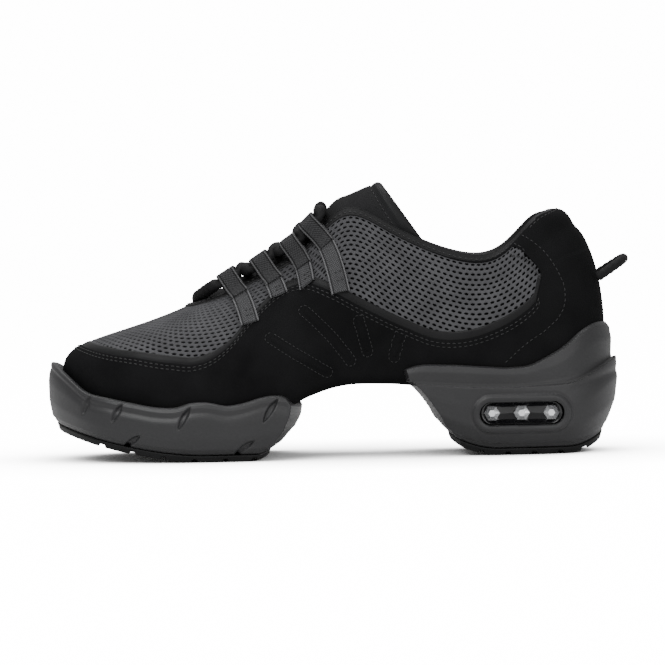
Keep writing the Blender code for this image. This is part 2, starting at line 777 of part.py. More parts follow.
def build_heel_midsole(parts, cutters):
    """The heel unit: a bulging lower lobe with a window, a shelf, and a collar that climbs the
    back of the upper."""
    rings = []
    lobe = columns(HEEL_WALL, WALL_COLUMNS)
    for height, out, end in zip(lobe["height"], lobe["out"], lobe["end"]):
        ring = unit_ring(HEEL_FLARE, np.full(600, out), HEEL_END_X + end, True)
        bottom = sole_bottom(ring[:, 0]) + OUTSOLE + GAP
        shelf = edge_height(ring[:, 0], HEEL_SHELF)
        ring[:, 2] = bottom + (shelf - bottom) * (height / lobe["height"][-1])
        rings.append(ring)
    fade = np.linspace(0, 1, 600)
    collar = columns(HEEL_COLLAR, WALL_COLUMNS)
    for height, out, end in zip(collar["height"], collar["out"], collar["end"]):
        step = SHELF_STEP * np.clip(1.6 - 2.6 * fade, 0, 1)
        ring = unit_ring(HEEL_FLARE, out + SHELF_STEP / 2 - step, HEEL_END_X + end, True)
        shelf = edge_height(ring[:, 0], HEEL_SHELF)
        top = np.maximum(edge_height(ring[:, 0], HEEL_EDGE), shelf + 2 * MM)
        ring[:, 2] = shelf + (top - shelf) * height
        rings.append(ring)
    rings.append(lip_ring(rings[-1]))
    made = ring_body("heel_midsole", rings, parts, "midsole")
    cut(made, as_cutter(foot_form("form_heel", GAP, 0.7, cutters)))
    cut(made, window_bar("window", WINDOW_LENGTH, WINDOW_HEIGHT, CUT_REACH, cutters, cutter=True))
    return made


def window_bar(name, length, height, reach, group, finish=None, cutter=False):
    """A bar with round ends in the side view, laid across the heel."""
    radius = height / 2
    turn = np.radians(np.linspace(-90, 90, 9))
    right = np.column_stack([length / 2 - radius + radius * np.cos(turn), radius * np.sin(turn)])
    left = np.column_stack([-right[:, 0], -right[:, 1]])
    outline = np.concatenate([right, left])
    start = int(np.argmax(outline[:, 0]))
    outline = np.roll(outline, -start, axis=0)
    rings = [
        np.column_stack(
            [
                WINDOW_X + outline[:, 0],
                np.full(len(outline), y),
                WINDOW_Z + outline[:, 1],
            ]
        )
        for y in (-reach, reach)
    ]
    made = ring_body(name, rings, group, finish, across=2)
    return as_cutter(made) if cutter else made


def build_cushion(parts, cutters):
    """The clear bar in the heel's window, and the three capsules that run through it."""
    reach = CUSHION_REACH
    made = window_bar(
        "heel_cushion", WINDOW_LENGTH - 2 * GAP, WINDOW_HEIGHT - 2 * GAP, reach, parts, "cushion"
    )
    for k in range(3):
        x = WINDOW_X + (k - 1) * CAPSULE_PITCH
        cut(made, as_cutter(hexagon_bar(f"bore_{k}", x, CAPSULE_WIDTH + 2 * GAP, CUT_REACH, cutters)))
        hexagon_bar(f"cushion_capsule_{k + 1}", x, CAPSULE_WIDTH, reach + 0.6 * MM, parts, "capsule")
    return made


def hexagon_bar(name, x, width, reach, group, finish=None):
    turn = np.radians(np.arange(0, 360, 60))
    rings = []
    for y in (-reach, reach):
        rings.append(
            np.column_stack(
                [
                    x + width / 2 * np.cos(turn),
                    np.full(6, y),
                    WINDOW_Z + width / 2 * np.sin(turn),
                ]
            )
        )
    return ring_body(name, rings, group, finish, across=1)


def build_outsole(name, parts, cutters, wall, flare, end_x, back_side, grooves):
    """A tread layer glued under one unit, with grooves across it."""
    out, end = wall["out"][0], wall["end"][0]
    sign = 1 if back_side else -1
    rings = []
    for lift, grow, shift in ((0.0, -1.2 * MM, 2.5 * MM), (0.45, 0.0, 0.6 * MM), (1.0, 0.6 * MM, 0.0)):
        extra = np.full(600, out - OUTSOLE_INSET + 1.6 * MM + grow)
        ring = unit_ring(flare, extra, end_x + sign * (end + shift), back_side)
        ring[:, 2] = sole_bottom(ring[:, 0]) + OUTSOLE * lift
        rings.append(ring)
    made = ring_body(name, rings, parts, "outsole", across=8)
    for k, x in enumerate(grooves):
        x *= MM
        z = float(sole_bottom(np.array(x)))
        slope = float(sole_bottom(np.array(x + MM)) - sole_bottom(np.array(x - MM))) / (2 * MM)
        cut(made, groove_bar(f"{name}_groove_{k}", x, z, slope, cutters))
    return made


def groove_bar(name, x, z, slope, cutters):
    bpy.ops.mesh.primitive_cube_add(size=1.0)
    bar = bpy.context.object
    bar.name = name
    bar.scale = (TREAD_WIDTH, 0.2, 2 * TREAD_DEPTH)
    bar.rotation_euler = (0, -np.arctan(slope), 0)
    bar.location = (x, 0, z)
    bpy.ops.object.transform_apply(location=True, rotation=True, scale=True)
    for held in bar.users_collection:
        held.objects.unlink(bar)
    cutters.objects.link(bar)
    return as_cutter(bar)


def tongue_rows():
    """The tongue's outer face, row by row from the vamp to its free top edge: under each throat
    edge it follows the upper's own inner face, and between them it arches over."""
    rows = []
    depth = WALL + 2 * GAP
    for s in (12.4, 11.6, 10.8, 10.0, 9.5, 9.0, 8.5, 8.0, 7.6, 7.2):
        low = height_below_top(s, 11 * MM)[0]
        h = np.linspace(low, 1.0, 4)
        outer = surface(np.full(4, s), h, -depth)
        inner = surface(np.full(4, STATION_COUNT - s), h, -depth)
        rows.append(np.concatenate([outer, bridge(outer, inner), inner[::-1]]))
    last = rows[-1]
    turn = np.linspace(-1, 1, len(last))
    top = np.column_stack(
        [
            TONGUE_TOP_X + (TONGUE_SIDE_X - TONGUE_TOP_X) * np.abs(turn) ** 2.2,
            TONGUE_SIDE_Y * np.sin(turn * np.pi / 2),
            TONGUE_TOP_Z + (TONGUE_SIDE_Z - TONGUE_TOP_Z) * np.abs(turn) ** 2.2,
        ]
    )
    for share in (0.3, 0.6, 0.85, 1.0):
        rows.append(last + (top - last) * share)
    return np.array(rows)


def bridge(outer, inner, count=5):
    """Points of a curve from one throat edge to the other that leaves both smoothly."""
    a, b = outer[-1], inner[-1]
    reach = 0.42 * np.linalg.norm(b - a)
    first = (outer[-1] - outer[-2]) / np.linalg.norm(outer[-1] - outer[-2])
    second = (inner[-1] - inner[-2]) / np.linalg.norm(inner[-1] - inner[-2])
    t = np.linspace(0, 1, count + 2)[1:-1, None]
    p, q = a + first * reach, b + second * reach
    return a * (1 - t) ** 3 + 3 * p * t * (1 - t) ** 2 + 3 * q * t * t * (1 - t) + b * t**3


def grid_normals(grid):
    along = np.gradient(grid, axis=0)
    across = np.gradient(grid, axis=1)
    normal = np.cross(along, across)
    return normal / np.linalg.norm(normal, axis=-1, keepdims=True)


def build_tongue(parts):
    top = tongue_rows()
    normal = grid_normals(top)
    if normal[4, normal.shape[1] // 2, 2] < 0:
        normal = -normal
    return slab("tongue", top - TONGUE * normal, top, parts, "suede")


def strap_places(row, side):
    """(u, h) of the middle of one webbing loop's lying part, from the suede up to the throat."""
    foot = place_of(row["foot_along"], row["foot_rise"], side)
    head = place_of(row["head_along"], row["head_rise"], side)
    share = np.linspace(0, 1, 6)
    return foot[0] + (head[0] - foot[0]) * share, foot[1] + (STRAP_HEAD - foot[1]) * share


def strap_frame(row, side):
    """Points, outward normals and directions along the middle of one webbing loop."""
    u, h = strap_places(row, side)
    centre = surface(u, h)
    normal = surface(u, h, 1.0) - centre
    along = np.gradient(centre, axis=0)
    along /= np.linalg.norm(along, axis=1, keepdims=True)
    return centre, normal, along


def lace_seat(row, side):
    """Centre of the lace inside one webbing loop, the loop's axis, and the way into the throat."""
    centre, normal, along = strap_frame(row, side)
    axis = np.cross(normal[-1], along[-1])
    axis *= -np.sign(axis[0])
    up = GAP + STRAP + LACE_DIAMETER / 2 + LOOP_PLAY
    return centre[-1] + along[-1] * 2.0 * MM + normal[-1] * up, axis, along[-1]


def build_lace_loop(name, row, side, parts):
    """A webbing strap that lies on the upper, turns round the lace and folds back on itself."""
    u, h = strap_places(row, side)
    centre, normal, along = strap_frame(row, side)
    n, t = normal[-1], along[-1]
    hub, axis, _ = lace_seat(row, side)
    hub = hub + 0.8 * MM * t
    radius = LACE_DIAMETER / 2 + LOOP_PLAY + STRAP / 2
    half = STRAP_WIDTH / 2
    path = [hub + radius * (np.cos(a) * t + np.sin(a) * n) for a in np.radians((-90, -45, 0, 45, 90, 130))]
    path.append(centre[-1] - t * STRAP_FOLD * 0.45 + n * (2 * GAP + STRAP * 1.5 + 0.5 * MM))
    path.append(centre[-1] - t * STRAP_FOLD + n * (2 * GAP + STRAP * 1.5))
    path = np.array(path)
    run = np.gradient(path, axis=0)
    run /= np.linalg.norm(run, axis=1, keepdims=True)
    thick = np.cross(run, axis)
    if np.dot(thick[0], n) < 0:
        thick = -thick
    wide = np.linalg.norm(point(u + 0.01, h) - point(u - 0.01, h), axis=1) / 0.02
    sense = -np.sign((point(u + 0.01, h) - point(u - 0.01, h))[:, 0])
    grids = []
    for lift in (-STRAP / 2, STRAP / 2):
        across = [
            surface(u + w * sense * half / wide, h, STRAP_SEAT + STRAP / 2 + lift) for w in (-1.0, 0.0, 1.0)
        ]
        lying = np.stack(across, axis=1)[:-1]
        turned = np.stack([path + thick * lift + axis * half * w for w in (-1.0, 0.0, 1.0)], axis=1)
        grids.append(np.concatenate([lying, turned]))
    return slab(name, grids[0], grids[1], parts, "webbing")


def smooth_route(points, count):
    """A smooth open curve through the points, read at even steps."""
    points = np.array(points)
    padded = np.concatenate([[2 * points[0] - points[1]], points, [2 * points[-1] - points[-2]]])
    curve = []
    for k in range(len(points) - 1):
        a, b, c, d = padded[k : k + 4]
        t = np.linspace(0, 1, 12, endpoint=False)[:, None]
        curve.append(
            0.5
            * (
                2 * b
                + (c - a) * t
                + (2 * a - 5 * b + 4 * c - d) * t**2
                + (3 * b - a - 3 * c + d) * t**3
            )
        )
    return resample(np.concatenate([*curve, points[-1:]]), count)


def relax(path, passes):
    """The path with its bends rounded off, its two ends kept."""
    path = path.copy()
    for _ in range(passes):
        path[1:-1] += 0.5 * ((path[:-2] + path[2:]) / 2 - path[1:-1])
    return path


def tube(name, points, diameter, group, finish, resolution=2):
    """A round cord along the points, as a closed mesh."""
    curve = bpy.data.curves.new(name, "CURVE")
    curve.dimensions = "3D"
    curve.bevel_depth = diameter / 2
    curve.bevel_resolution = resolution
    curve.use_fill_caps = True
    spline = curve.splines.new("POLY")
    spline.points.add(len(points) - 1)
    for p, place in zip(spline.points, points):
        p.co = (*place, 1.0)
    source = bpy.data.objects.new(name + "_route", curve)
    group.objects.link(source)
    graph = bpy.context.evaluated_depsgraph_get()
    mesh = bpy.data.meshes.new_from_object(source.evaluated_get(graph))
    bpy.data.objects.remove(source)
    work = bmesh.new()
    work.from_mesh(mesh)
    bmesh.ops.remove_doubles(work, verts=work.verts[:], dist=0.00002)
    bmesh.ops.recalc_face_normals(work, faces=work.faces[:])
    work.to_mesh(mesh)
    work.free()
    made = bpy.data.objects.new(name, mesh)
    group.objects.link(made)
    mesh.materials.clear()
    mesh.materials.append(material(finish))
    return made


def ridge(x):
    """Height of the tongue's crown under the lace at x."""
    rows = tongue_rows()
    crown = rows[:, rows.shape[1] // 2]
    order = np.argsort(crown[:, 0])
    return np.interp(x, crown[order, 0], crown[order, 2])


def build_lace(parts, cutters):
    """The criss-cross lace: two runs from the bar at the throat's front up to its top corners, one
    the mirror of the other, joined where they cross."""
    rows = [dict(zip(LOOP_COLUMNS, row)) for row in LACE_LOOPS]
    runs, room = [], []
    for first_side, over in ((-1, 1.0), (1, 0.0)):
        side = first_side
        bar_x = along_to_x(STATIONS[-3][3]) + 1 * MM
        bar_z = ridge(bar_x) + LACE_RISE + 0.6 * MM + over * 0.9 * MM
        route = [
            (bar_x + over * 0.5 * MM, -first_side * 2.3 * MM, bar_z),
            (bar_x + over * 0.2 * MM, first_side * 4 * MM, bar_z),
        ]
        for k, row in enumerate(rows):
            hub, axis, inward = lace_seat(row, side)
            half = STRAP_WIDTH / 2
            for share, turned in ((1.7, 2.6), (1.3, 0.2), (0.7, 0), (0, 0), (-0.7, 0), (-1.3, 0.2), (-1.7, 2.6)):
                route.append(hub + axis * half * share + inward * turned * MM)
            following = lace_seat(rows[k + 1], -side)[0] if k + 1 < len(rows) else None
            if following is not None:
                middle = (hub + following) / 2
                lift = LACE_RISE + over * 1.4 * MM
                route.append((middle[0], 0.0, max(ridge(middle[0]) + lift, middle[2])))
                side = -side
        top_x = hub[0] + LACE_TOP_BACK
        route.append((top_x, side * 8 * MM, ridge(top_x) + LACE_RISE))
        top_x += over * 0.8 * MM
        route.append((top_x, -side * 3 * MM, ridge(top_x) + LACE_RISE + over * 1.2 * MM))
        path = relax(smooth_route(route, 160), 3)
        runs.append(tube(f"lace_{first_side}", path, LACE_DIAMETER, parts, "lace", 1))
        clear = tube(f"lace_room_{first_side}", path, LACE_DIAMETER + 2 * GAP, cutters, "lace", 1)
        room.append(as_cutter(clear))
    made, other = runs
    made.name = "lace"
    cut(made, other, "UNION")
    return room


def build_pull_loop(parts):
    """The cord loop behind the heel: two legs that leave the counter and meet in a round bend."""
    foot = surface(np.array(PULL_STATION), np.array(PULL_SHARE), PULL_SEAT)
    up = np.array([np.cos(PULL_LEAN), 0, np.sin(PULL_LEAN)])
    leg = []
    for reach, spread in ((0.0, 1.0), (0.25, 0.98), (0.5, 0.86), (0.75, 0.70), (0.93, 0.40)):
        leg.append(foot * np.array([1, spread, 1]) + up * PULL_LENGTH * reach)
    tip = [foot * np.array([1, 0, 1]) + up * PULL_LENGTH]
    other = [p * np.array([1, -1, 1]) for p in reversed(leg)]
    return tube("pull_loop", smooth_route(leg + tip + other, 29), PULL_CORD, parts, "webbing", 2)


def main():
    for old in list(bpy.data.objects):
        bpy.data.objects.remove(old)
    parts = collection("dance_sneaker")
    cutters = collection("cutters")
    build_upper(parts, cutters)
    build_insole(parts)
    build_tongue(parts)
    build_forefoot_midsole(parts, cutters)
    build_heel_midsole(parts, cutters)
    build_cushion(parts, cutters)
    forefoot = columns(FOREFOOT_WALL, WALL_COLUMNS)
    heel = columns(HEEL_WALL, WALL_COLUMNS)
    build_outsole(
        "forefoot_outsole", parts, cutters, forefoot,
        FOREFOOT_FLARE, FOREFOOT_END_X, False, FOREFOOT_TREAD,
    )
    build_outsole(
        "heel_outsole", parts, cutters, heel, HEEL_FLARE, HEEL_END_X, True, HEEL_TREAD
    )
    room = build_lace(parts, cutters)
    for k, row in enumerate(LACE_LOOPS):
        for side, word in ((-1, "outer"), (1, "inner")):
            name = f"lace_loop_{word}_{k + 1}"
            strap = build_lace_loop(name, dict(zip(LOOP_COLUMNS, row)), side, parts)
            for run in room:
                cut(strap, run)
    build_pull_loop(parts)


main()
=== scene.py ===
# %% [markdown]
# # Split-sole dance sneaker
#
# The shoe is dressed over its CAD solids. Almost every piece is read from one surface: a band of
# Bezier profiles that runs round the foot, from the feather edge up to the collar and the throat.
# A place on it is (u, h): u counts stations round the foot and h climbs from 0 to 1.

import bpy
import numpy as np
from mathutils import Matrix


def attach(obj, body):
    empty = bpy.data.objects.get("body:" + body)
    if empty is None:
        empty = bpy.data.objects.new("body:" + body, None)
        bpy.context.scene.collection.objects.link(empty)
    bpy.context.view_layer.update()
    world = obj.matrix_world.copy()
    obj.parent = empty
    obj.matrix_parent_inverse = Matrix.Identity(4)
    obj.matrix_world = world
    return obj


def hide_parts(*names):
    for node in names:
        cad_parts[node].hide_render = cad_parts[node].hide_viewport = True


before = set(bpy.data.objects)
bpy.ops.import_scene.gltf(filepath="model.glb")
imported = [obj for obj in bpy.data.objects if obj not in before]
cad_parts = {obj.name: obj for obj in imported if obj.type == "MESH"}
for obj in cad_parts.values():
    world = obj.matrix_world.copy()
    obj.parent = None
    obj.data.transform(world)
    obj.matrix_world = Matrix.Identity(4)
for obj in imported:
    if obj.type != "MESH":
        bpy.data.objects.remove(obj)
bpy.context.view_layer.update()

# %% [markdown]
# ## Sizes
#
# The sizes are those of the solids, in metres.

# %% Sizes
MM = 0.001
UPPER_LENGTH = 247.5 * MM
BALL_WIDTH = 89.0 * MM
UPPER_HEIGHT = 84.6 * MM
HEEL_BACK_X = 42.0 * MM
HEEL_SEAT = 28.0 * MM
BALL_SEAT = 15.0 * MM
TOE_SPRING = 12.0 * MM
ARCH_RISE = 6.0 * MM
FEATHER_RADIUS = 6.0 * MM
WALL = 2.6 * MM
COLLAR_PAD = 2.6 * MM
BINDING = 4.0 * MM
GAP = 0.3 * MM
FOREFOOT_FLARE = 5.0 * MM
TOE_BUMPER = 1.0 * MM
HEEL_FLARE = 4.2 * MM
OUTSOLE = 3.0 * MM
OUTSOLE_INSET = 1.8 * MM
TREAD_DEPTH = 1.5 * MM
TREAD_WIDTH = 2.6 * MM
SOLE_TOE_LIFT = 15.5 * MM
TOE_SPRING_X = -140 * MM
TOE_SPRING_RUN = 72 * MM
BALL_BACK_X = -118 * MM
BALL_BACK_RUN = 18 * MM
BALL_BACK_LIFT = 3.5 * MM
HEEL_FRONT_X = -6 * MM
HEEL_FRONT_RUN = 28 * MM
HEEL_FRONT_LIFT = 10.5 * MM
HEEL_CURVE_X = 25 * MM
HEEL_CURVE_RUN = 25 * MM
HEEL_CURVE_LIFT = 13 * MM
SHELF_STEP = 2.0 * MM
SLASH_DEPTH = 1.3 * MM
WINDOW_LENGTH = 38.6 * MM
WINDOW_HEIGHT = 11.0 * MM
WINDOW_X = 4.5 * MM
WINDOW_Z = 19.0 * MM
CAPSULE_WIDTH = 7.6 * MM
CAPSULE_PITCH = 13.5 * MM
TONGUE = 4.0 * MM
TONGUE_TOP_X = -57.5 * MM
TONGUE_TOP_Z = 125.5 * MM
TONGUE_SIDE_X = -38.5 * MM
TONGUE_SIDE_Y = 17.5 * MM
TONGUE_SIDE_Z = 98.0 * MM
LACE_DIAMETER = 3.8 * MM
LACE_RISE = 2.6 * MM
LOOP_PLAY = 1.15 * MM
LACE_TOP_BACK = 3.8 * MM
STRAP_WIDTH = 8.6 * MM
STRAP = 1.0 * MM
STRAP_FOLD = 8.0 * MM
STRAP_SEAT = 0.6 * MM
STRAP_HEAD = 0.97
PULL_CORD = 4.4 * MM
PULL_LENGTH = 16.0 * MM
PULL_STATION = 0.75
PULL_SHARE = 0.42
PULL_LEAN = np.radians(33)
PULL_SEAT = 1.3 * MM

# %% [markdown]
# ## Tables
#
# One row for each station from the heel's middle to the toe's middle, then the curves that are seen
# from the side, as shares of the length from the heel and of the height above the heel seat.

# %% Tables
STATION_COLUMNS = (
    "base", "outer", "inner", "top", "mouth", "rise", "low_out", "low_up", "high_out", "high_down"
)
STATIONS = (
    (0.000, 0.000, 0.000, 0.093, 0.00, 0.980, 0.083, 0.44, 0.215, -0.01),
    (0.018, 0.340, 0.340, 0.099, 0.25, 0.970, 0.083, 0.44, 0.190, 0.01),
    (0.061, 0.570, 0.565, 0.125, 0.42, 0.935, 0.080, 0.40, 0.150, 0.06),
    (0.129, 0.685, 0.675, 0.166, 0.52, 0.815, 0.075, 0.32, 0.105, 0.14),
    (0.222, 0.710, 0.695, 0.222, 0.58, 0.742, 0.072, 0.26, 0.070, 0.20),
    (0.315, 0.700, 0.640, 0.307, 0.57, 0.800, 0.070, 0.28, 0.085, 0.22),
    (0.412, 0.722, 0.600, 0.396, 0.49, 0.930, 0.070, 0.32, 0.120, 0.26),
    (0.493, 0.780, 0.615, 0.474, 0.40, 1.000, 0.070, 0.34, 0.160, 0.24),
    (0.574, 0.880, 0.720, 0.549, 0.36, 0.806, 0.072, 0.34, 0.185, 0.18),
    (0.655, 0.965, 0.875, 0.622, 0.33, 0.672, 0.075, 0.32, 0.205, 0.13),
    (0.739, 1.000, 0.985, 0.691, 0.29, 0.572, 0.078, 0.29, 0.225, 0.09),
    (0.816, 0.955, 0.995, 0.731, 0.23, 0.530, 0.082, 0.29, 0.270, 0.10),
    (0.897, 0.800, 0.900, 0.747, 0.16, 0.515, 0.094, 0.30, 0.360, 0.15),
    (0.954, 0.510, 0.620, 0.754, 0.08, 0.512, 0.100, 0.31, 0.440, 0.19),
    (0.991, -0.050, 0.050, 0.756, 0.00, 0.511, 0.104, 0.31, 0.480, 0.215),
)
SEAT_COLUMNS = ("along", "heel", "spring", "arch")
SEAT = (
    (-0.05, 1.00, 0.00, 0.00),
    (0.10, 1.00, 0.00, 0.00),
    (0.28, 1.00, 0.00, 0.35),
    (0.40, 1.00, 0.00, 0.85),
    (0.48, 0.95, 0.00, 0.85),
    (0.54, 0.70, 0.00, 0.60),
    (0.60, 0.28, 0.00, 0.20),
    (0.67, 0.02, 0.00, 0.00),
    (0.78, 0.00, 0.06, 0.00),
    (0.88, 0.00, 0.34, 0.00),
    (0.95, 0.00, 0.68, 0.00),
    (1.03, 0.00, 1.10, 0.00),
)
SUEDE_EDGE = (
    (0.104, 0.580), (0.120, 0.505), (0.154, 0.417), (0.202, 0.343), (0.253, 0.301),
    (0.305, 0.303), (0.365, 0.371), (0.443, 0.485), (0.499, 0.573), (0.545, 0.617),
    (0.590, 0.572), (0.637, 0.449), (0.683, 0.299), (0.714, 0.229), (0.745, 0.200),
    (0.791, 0.206), (0.853, 0.233), (0.909, 0.258), (0.975, 0.305),
)
PANEL_BACK = ((0.104, 0.590), (0.111, 0.667), (0.128, 0.728), (0.158, 0.780), (0.30, 1.2))
LOOP_COLUMNS = ("foot_along", "foot_rise", "head_along", "head_rise")
LACE_LOOPS = (
    (0.647, 0.400, 0.675, 0.600),
    (0.592, 0.545, 0.622, 0.715),
    (0.540, 0.600, 0.568, 0.815),
    (0.478, 0.560, 0.520, 0.900),
)
FOREFOOT_EDGE = (
    (0.560, 0.950), (0.585, 1.040), (0.605, 1.060), (0.630, 1.030), (0.655, 0.965),
    (0.688, 0.915), (0.730, 0.975), (0.758, 0.965), (0.785, 0.900), (0.817, 0.905),
    (0.859, 0.970), (0.907, 1.060), (0.952, 1.168), (0.985, 1.400), (1.030, 1.720),
)
HEEL_EDGE = (
    (-0.030, 2.020), (0.000, 2.120), (0.038, 2.000), (0.070, 1.770), (0.109, 1.570),
    (0.134, 1.470), (0.172, 1.430), (0.217, 1.450), (0.290, 1.490), (0.345, 1.480),
    (0.375, 1.400),
)
HEEL_SHELF = ((-0.03, 1.560), (0.00, 1.420), (0.04, 1.230), (0.125, 1.140), (0.215, 1.130), (0.36, 1.20))
WALL_COLUMNS = ("height", "out", "end")
FOREFOOT_WALL = (
    (0.00, -3.4 * MM, 15.0 * MM),
    (0.07, -0.9 * MM, 10.0 * MM),
    (0.32, 0.5 * MM, 3.8 * MM),
    (0.62, 0.7 * MM, 0.8 * MM),
    (0.86, 0.0 * MM, 0.0 * MM),
    (0.97, -0.9 * MM, 2.4 * MM),
    (1.00, -2.3 * MM, 5.0 * MM),
)
HEEL_WALL = (
    (0.00, -6.0 * MM, 24.0 * MM),
    (0.08, -2.8 * MM, 18.0 * MM),
    (0.24, 0.6 * MM, 15.0 * MM),
    (0.50, 1.9 * MM, 9.0 * MM),
    (0.76, 1.3 * MM, 3.6 * MM),
)
HEEL_COLLAR = (
    (0.06, -0.1 * MM, 1.6 * MM),
    (0.60, 0.3 * MM, 0.8 * MM),
    (0.92, -0.6 * MM, 0.0 * MM),
    (1.00, -2.2 * MM, 1.2 * MM),
)
FOREFOOT_END_X = -99.9 * MM
HEEL_END_X = -47.9 * MM
END_BULGE = 5.0 * MM
SLASH_COLUMNS = ("along", "height", "length", "lean")
SLASHES = (
    (0.950, 0.92, 9.0 * MM, 68.0),
    (0.893, 0.80, 9.0 * MM, 62.0),
    (0.770, 0.70, 11.0 * MM, 62.0),
    (0.612, 0.80, 12.0 * MM, 58.0),
    (0.868, 0.32, 10.0 * MM, 40.0),
    (0.662, 0.20, 11.0 * MM, 38.0),
)
FOREFOOT_TREAD = (-186.0, -172.0, -158.0, -144.0, -130.0, -117.0)
HEEL_TREAD = (-14.0, -2.0, 10.0, 22.0, 33.0)

# %% [markdown]
# ## The upper's surface
#
# A closed smooth curve through the stations gives each profile's base, top and two handles. The
# profile is a Bezier curve, and below h = 0 the face turns under the foot on a small arc.

# %% The upper's surface

def columns(table, names):
    """The table's columns by name, as arrays."""
    values = np.array(table, float)
    return {name: values[:, i] for i, name in enumerate(names)}


def smooth_slopes(x, y):
    """Slopes of a curve through the points that never overshoots them."""
    step = np.diff(x)
    rate = np.diff(y) / step
    slope = np.zeros(len(x))
    slope[1:-1] = (rate[:-1] * step[1:] + rate[1:] * step[:-1]) / (step[:-1] + step[1:])
    slope[0], slope[-1] = rate[0], rate[-1]
    return slope


def smooth(x, table):
    """A smooth curve through a table of (x, y) rows, held straight outside them."""
    xs, ys = np.array(table, float).T
    slope = smooth_slopes(xs, ys)
    i = np.clip(np.searchsorted(xs, x) - 1, 0, len(xs) - 2)
    step = xs[i + 1] - xs[i]
    t = np.clip((x - xs[i]) / step, 0, 1)
    return (
        ys[i] * (1 + 2 * t) * (1 - t) ** 2
        + slope[i] * step * t * (1 - t) ** 2
        + ys[i + 1] * t * t * (3 - 2 * t)
        + slope[i + 1] * step * t * t * (t - 1)
    )


def along_to_x(share):
    return HEEL_BACK_X - share * UPPER_LENGTH


def x_to_along(x):
    return (HEEL_BACK_X - x) / UPPER_LENGTH


def seat_height(x):
    """Height of the upper's underside above the floor."""
    seat = columns(SEAT, SEAT_COLUMNS)
    along = x_to_along(x)

    def part(name):
        return smooth(along, list(zip(seat["along"], seat[name])))

    return (
        BALL_SEAT
        + part("heel") * (HEEL_SEAT - BALL_SEAT)
        + part("spring") * TOE_SPRING
        + part("arch") * ARCH_RISE
    )


def loop_rows():
    """The stations as one closed loop: heel, outer side, toe, inner side. Each row holds the base
    point, the top point and the four handle lengths."""
    s = columns(STATIONS, STATION_COLUMNS)
    half = BALL_WIDTH / 2
    handles = np.stack([s[n] * UPPER_HEIGHT for n in STATION_COLUMNS[6:]], axis=1)

    def side(width, sign):
        return np.column_stack(
            [
                along_to_x(s["base"]),
                sign * width * half,
                along_to_x(s["top"]),
                sign * s["mouth"] * half,
                HEEL_SEAT + s["rise"] * UPPER_HEIGHT,
                handles,
            ]
        )

    outer = side(s["outer"], -1)
    inner = side(s["inner"], 1)
    return np.concatenate([outer, inner[-2:0:-1]])


LOOP = loop_rows()
STATION_COUNT = len(LOOP)
TOE = STATION_COUNT // 2


def loop_slopes(rows):
    """Slopes of the closed curve through the rows whose bend is continuous too."""
    n = len(rows)
    links = 4 * np.eye(n) + np.roll(np.eye(n), 1, axis=0) + np.roll(np.eye(n), -1, axis=0)
    return np.linalg.solve(links, 3 * (np.roll(rows, -1, axis=0) - np.roll(rows, 1, axis=0)))


SLOPES = loop_slopes(LOOP)


def station(u):
    """The loop's row at any place u, counted in stations from the heel's middle."""
    i = np.floor(u).astype(int)
    t = (u - i)[..., None]
    a, b = i % STATION_COUNT, (i + 1) % STATION_COUNT
    return (
        LOOP[a] * (1 + 2 * t) * (1 - t) ** 2
        + SLOPES[a] * t * (1 - t) ** 2
        + LOOP[b] * t * t * (3 - 2 * t)
        + SLOPES[b] * t * t * (t - 1)
    )


def point(u, h):
    """A point of the upper's outer face: h is -1 under the foot's edge, 0 at the top of the
    rounded feather edge and 1 at the collar or throat."""
    u, h = np.broadcast_arrays(np.asarray(u, float), np.asarray(h, float))
    step = 0.01
    row = station(u)
    run = station(u + step)[..., :2] - station(u - step)[..., :2]
    run /= np.linalg.norm(run, axis=-1, keepdims=True)
    out = np.stack([-run[..., 1], run[..., 0], np.zeros_like(u)], axis=-1)
    up = np.array([0.0, 0.0, 1.0])
    base = np.stack([row[..., 0], row[..., 1], seat_height(row[..., 0])], axis=-1)
    top = row[..., 2:5]
    low_out, low_up, high_out, high_down = (row[..., k, None] for k in (5, 6, 7, 8))
    start = base + FEATHER_RADIUS * up
    t = np.clip(h, 0, None)[..., None]
    low = start + low_out * out + low_up * up
    high = top + high_out * out - high_down * up
    side = (
        start * (1 - t) ** 3 + 3 * low * t * (1 - t) ** 2 + 3 * high * t * t * (1 - t) + top * t**3
    )
    turn = (1 + np.clip(h, -1, 0))[..., None] * np.pi / 2
    corner = base + FEATHER_RADIUS * ((np.sin(turn) - 1) * out + (1 - np.cos(turn)) * up)
    return np.where(h[..., None] >= 0, side, corner)


def surface(u, h, offset=0.0):
    """A point offset from the upper's outer face, outwards if offset is positive."""
    u, h = np.broadcast_arrays(np.asarray(u, float), np.asarray(h, float))
    e = 0.004
    along = point(u + e, h) - point(u - e, h)
    rise = point(u, np.minimum(h + e, 1.0)) - point(u, np.maximum(h - e, -1.0))
    normal = np.cross(rise, along)
    normal /= np.linalg.norm(normal, axis=-1, keepdims=True)
    return point(u, h) + np.asarray(offset)[..., None] * normal


def wall_at(u, h):
    """Thickness of the upper's wall: padded round the ankle, plain along the throat."""
    ankle = np.clip(1.0 - (np.minimum(u, STATION_COUNT - u) - 4.5) / 2.0, 0, 1)
    near_top = np.clip((h - 0.55) / 0.25, 0, 1) * np.clip((1.06 - h) / 0.14, 0, 1)
    return WALL + COLLAR_PAD * ankle * near_top


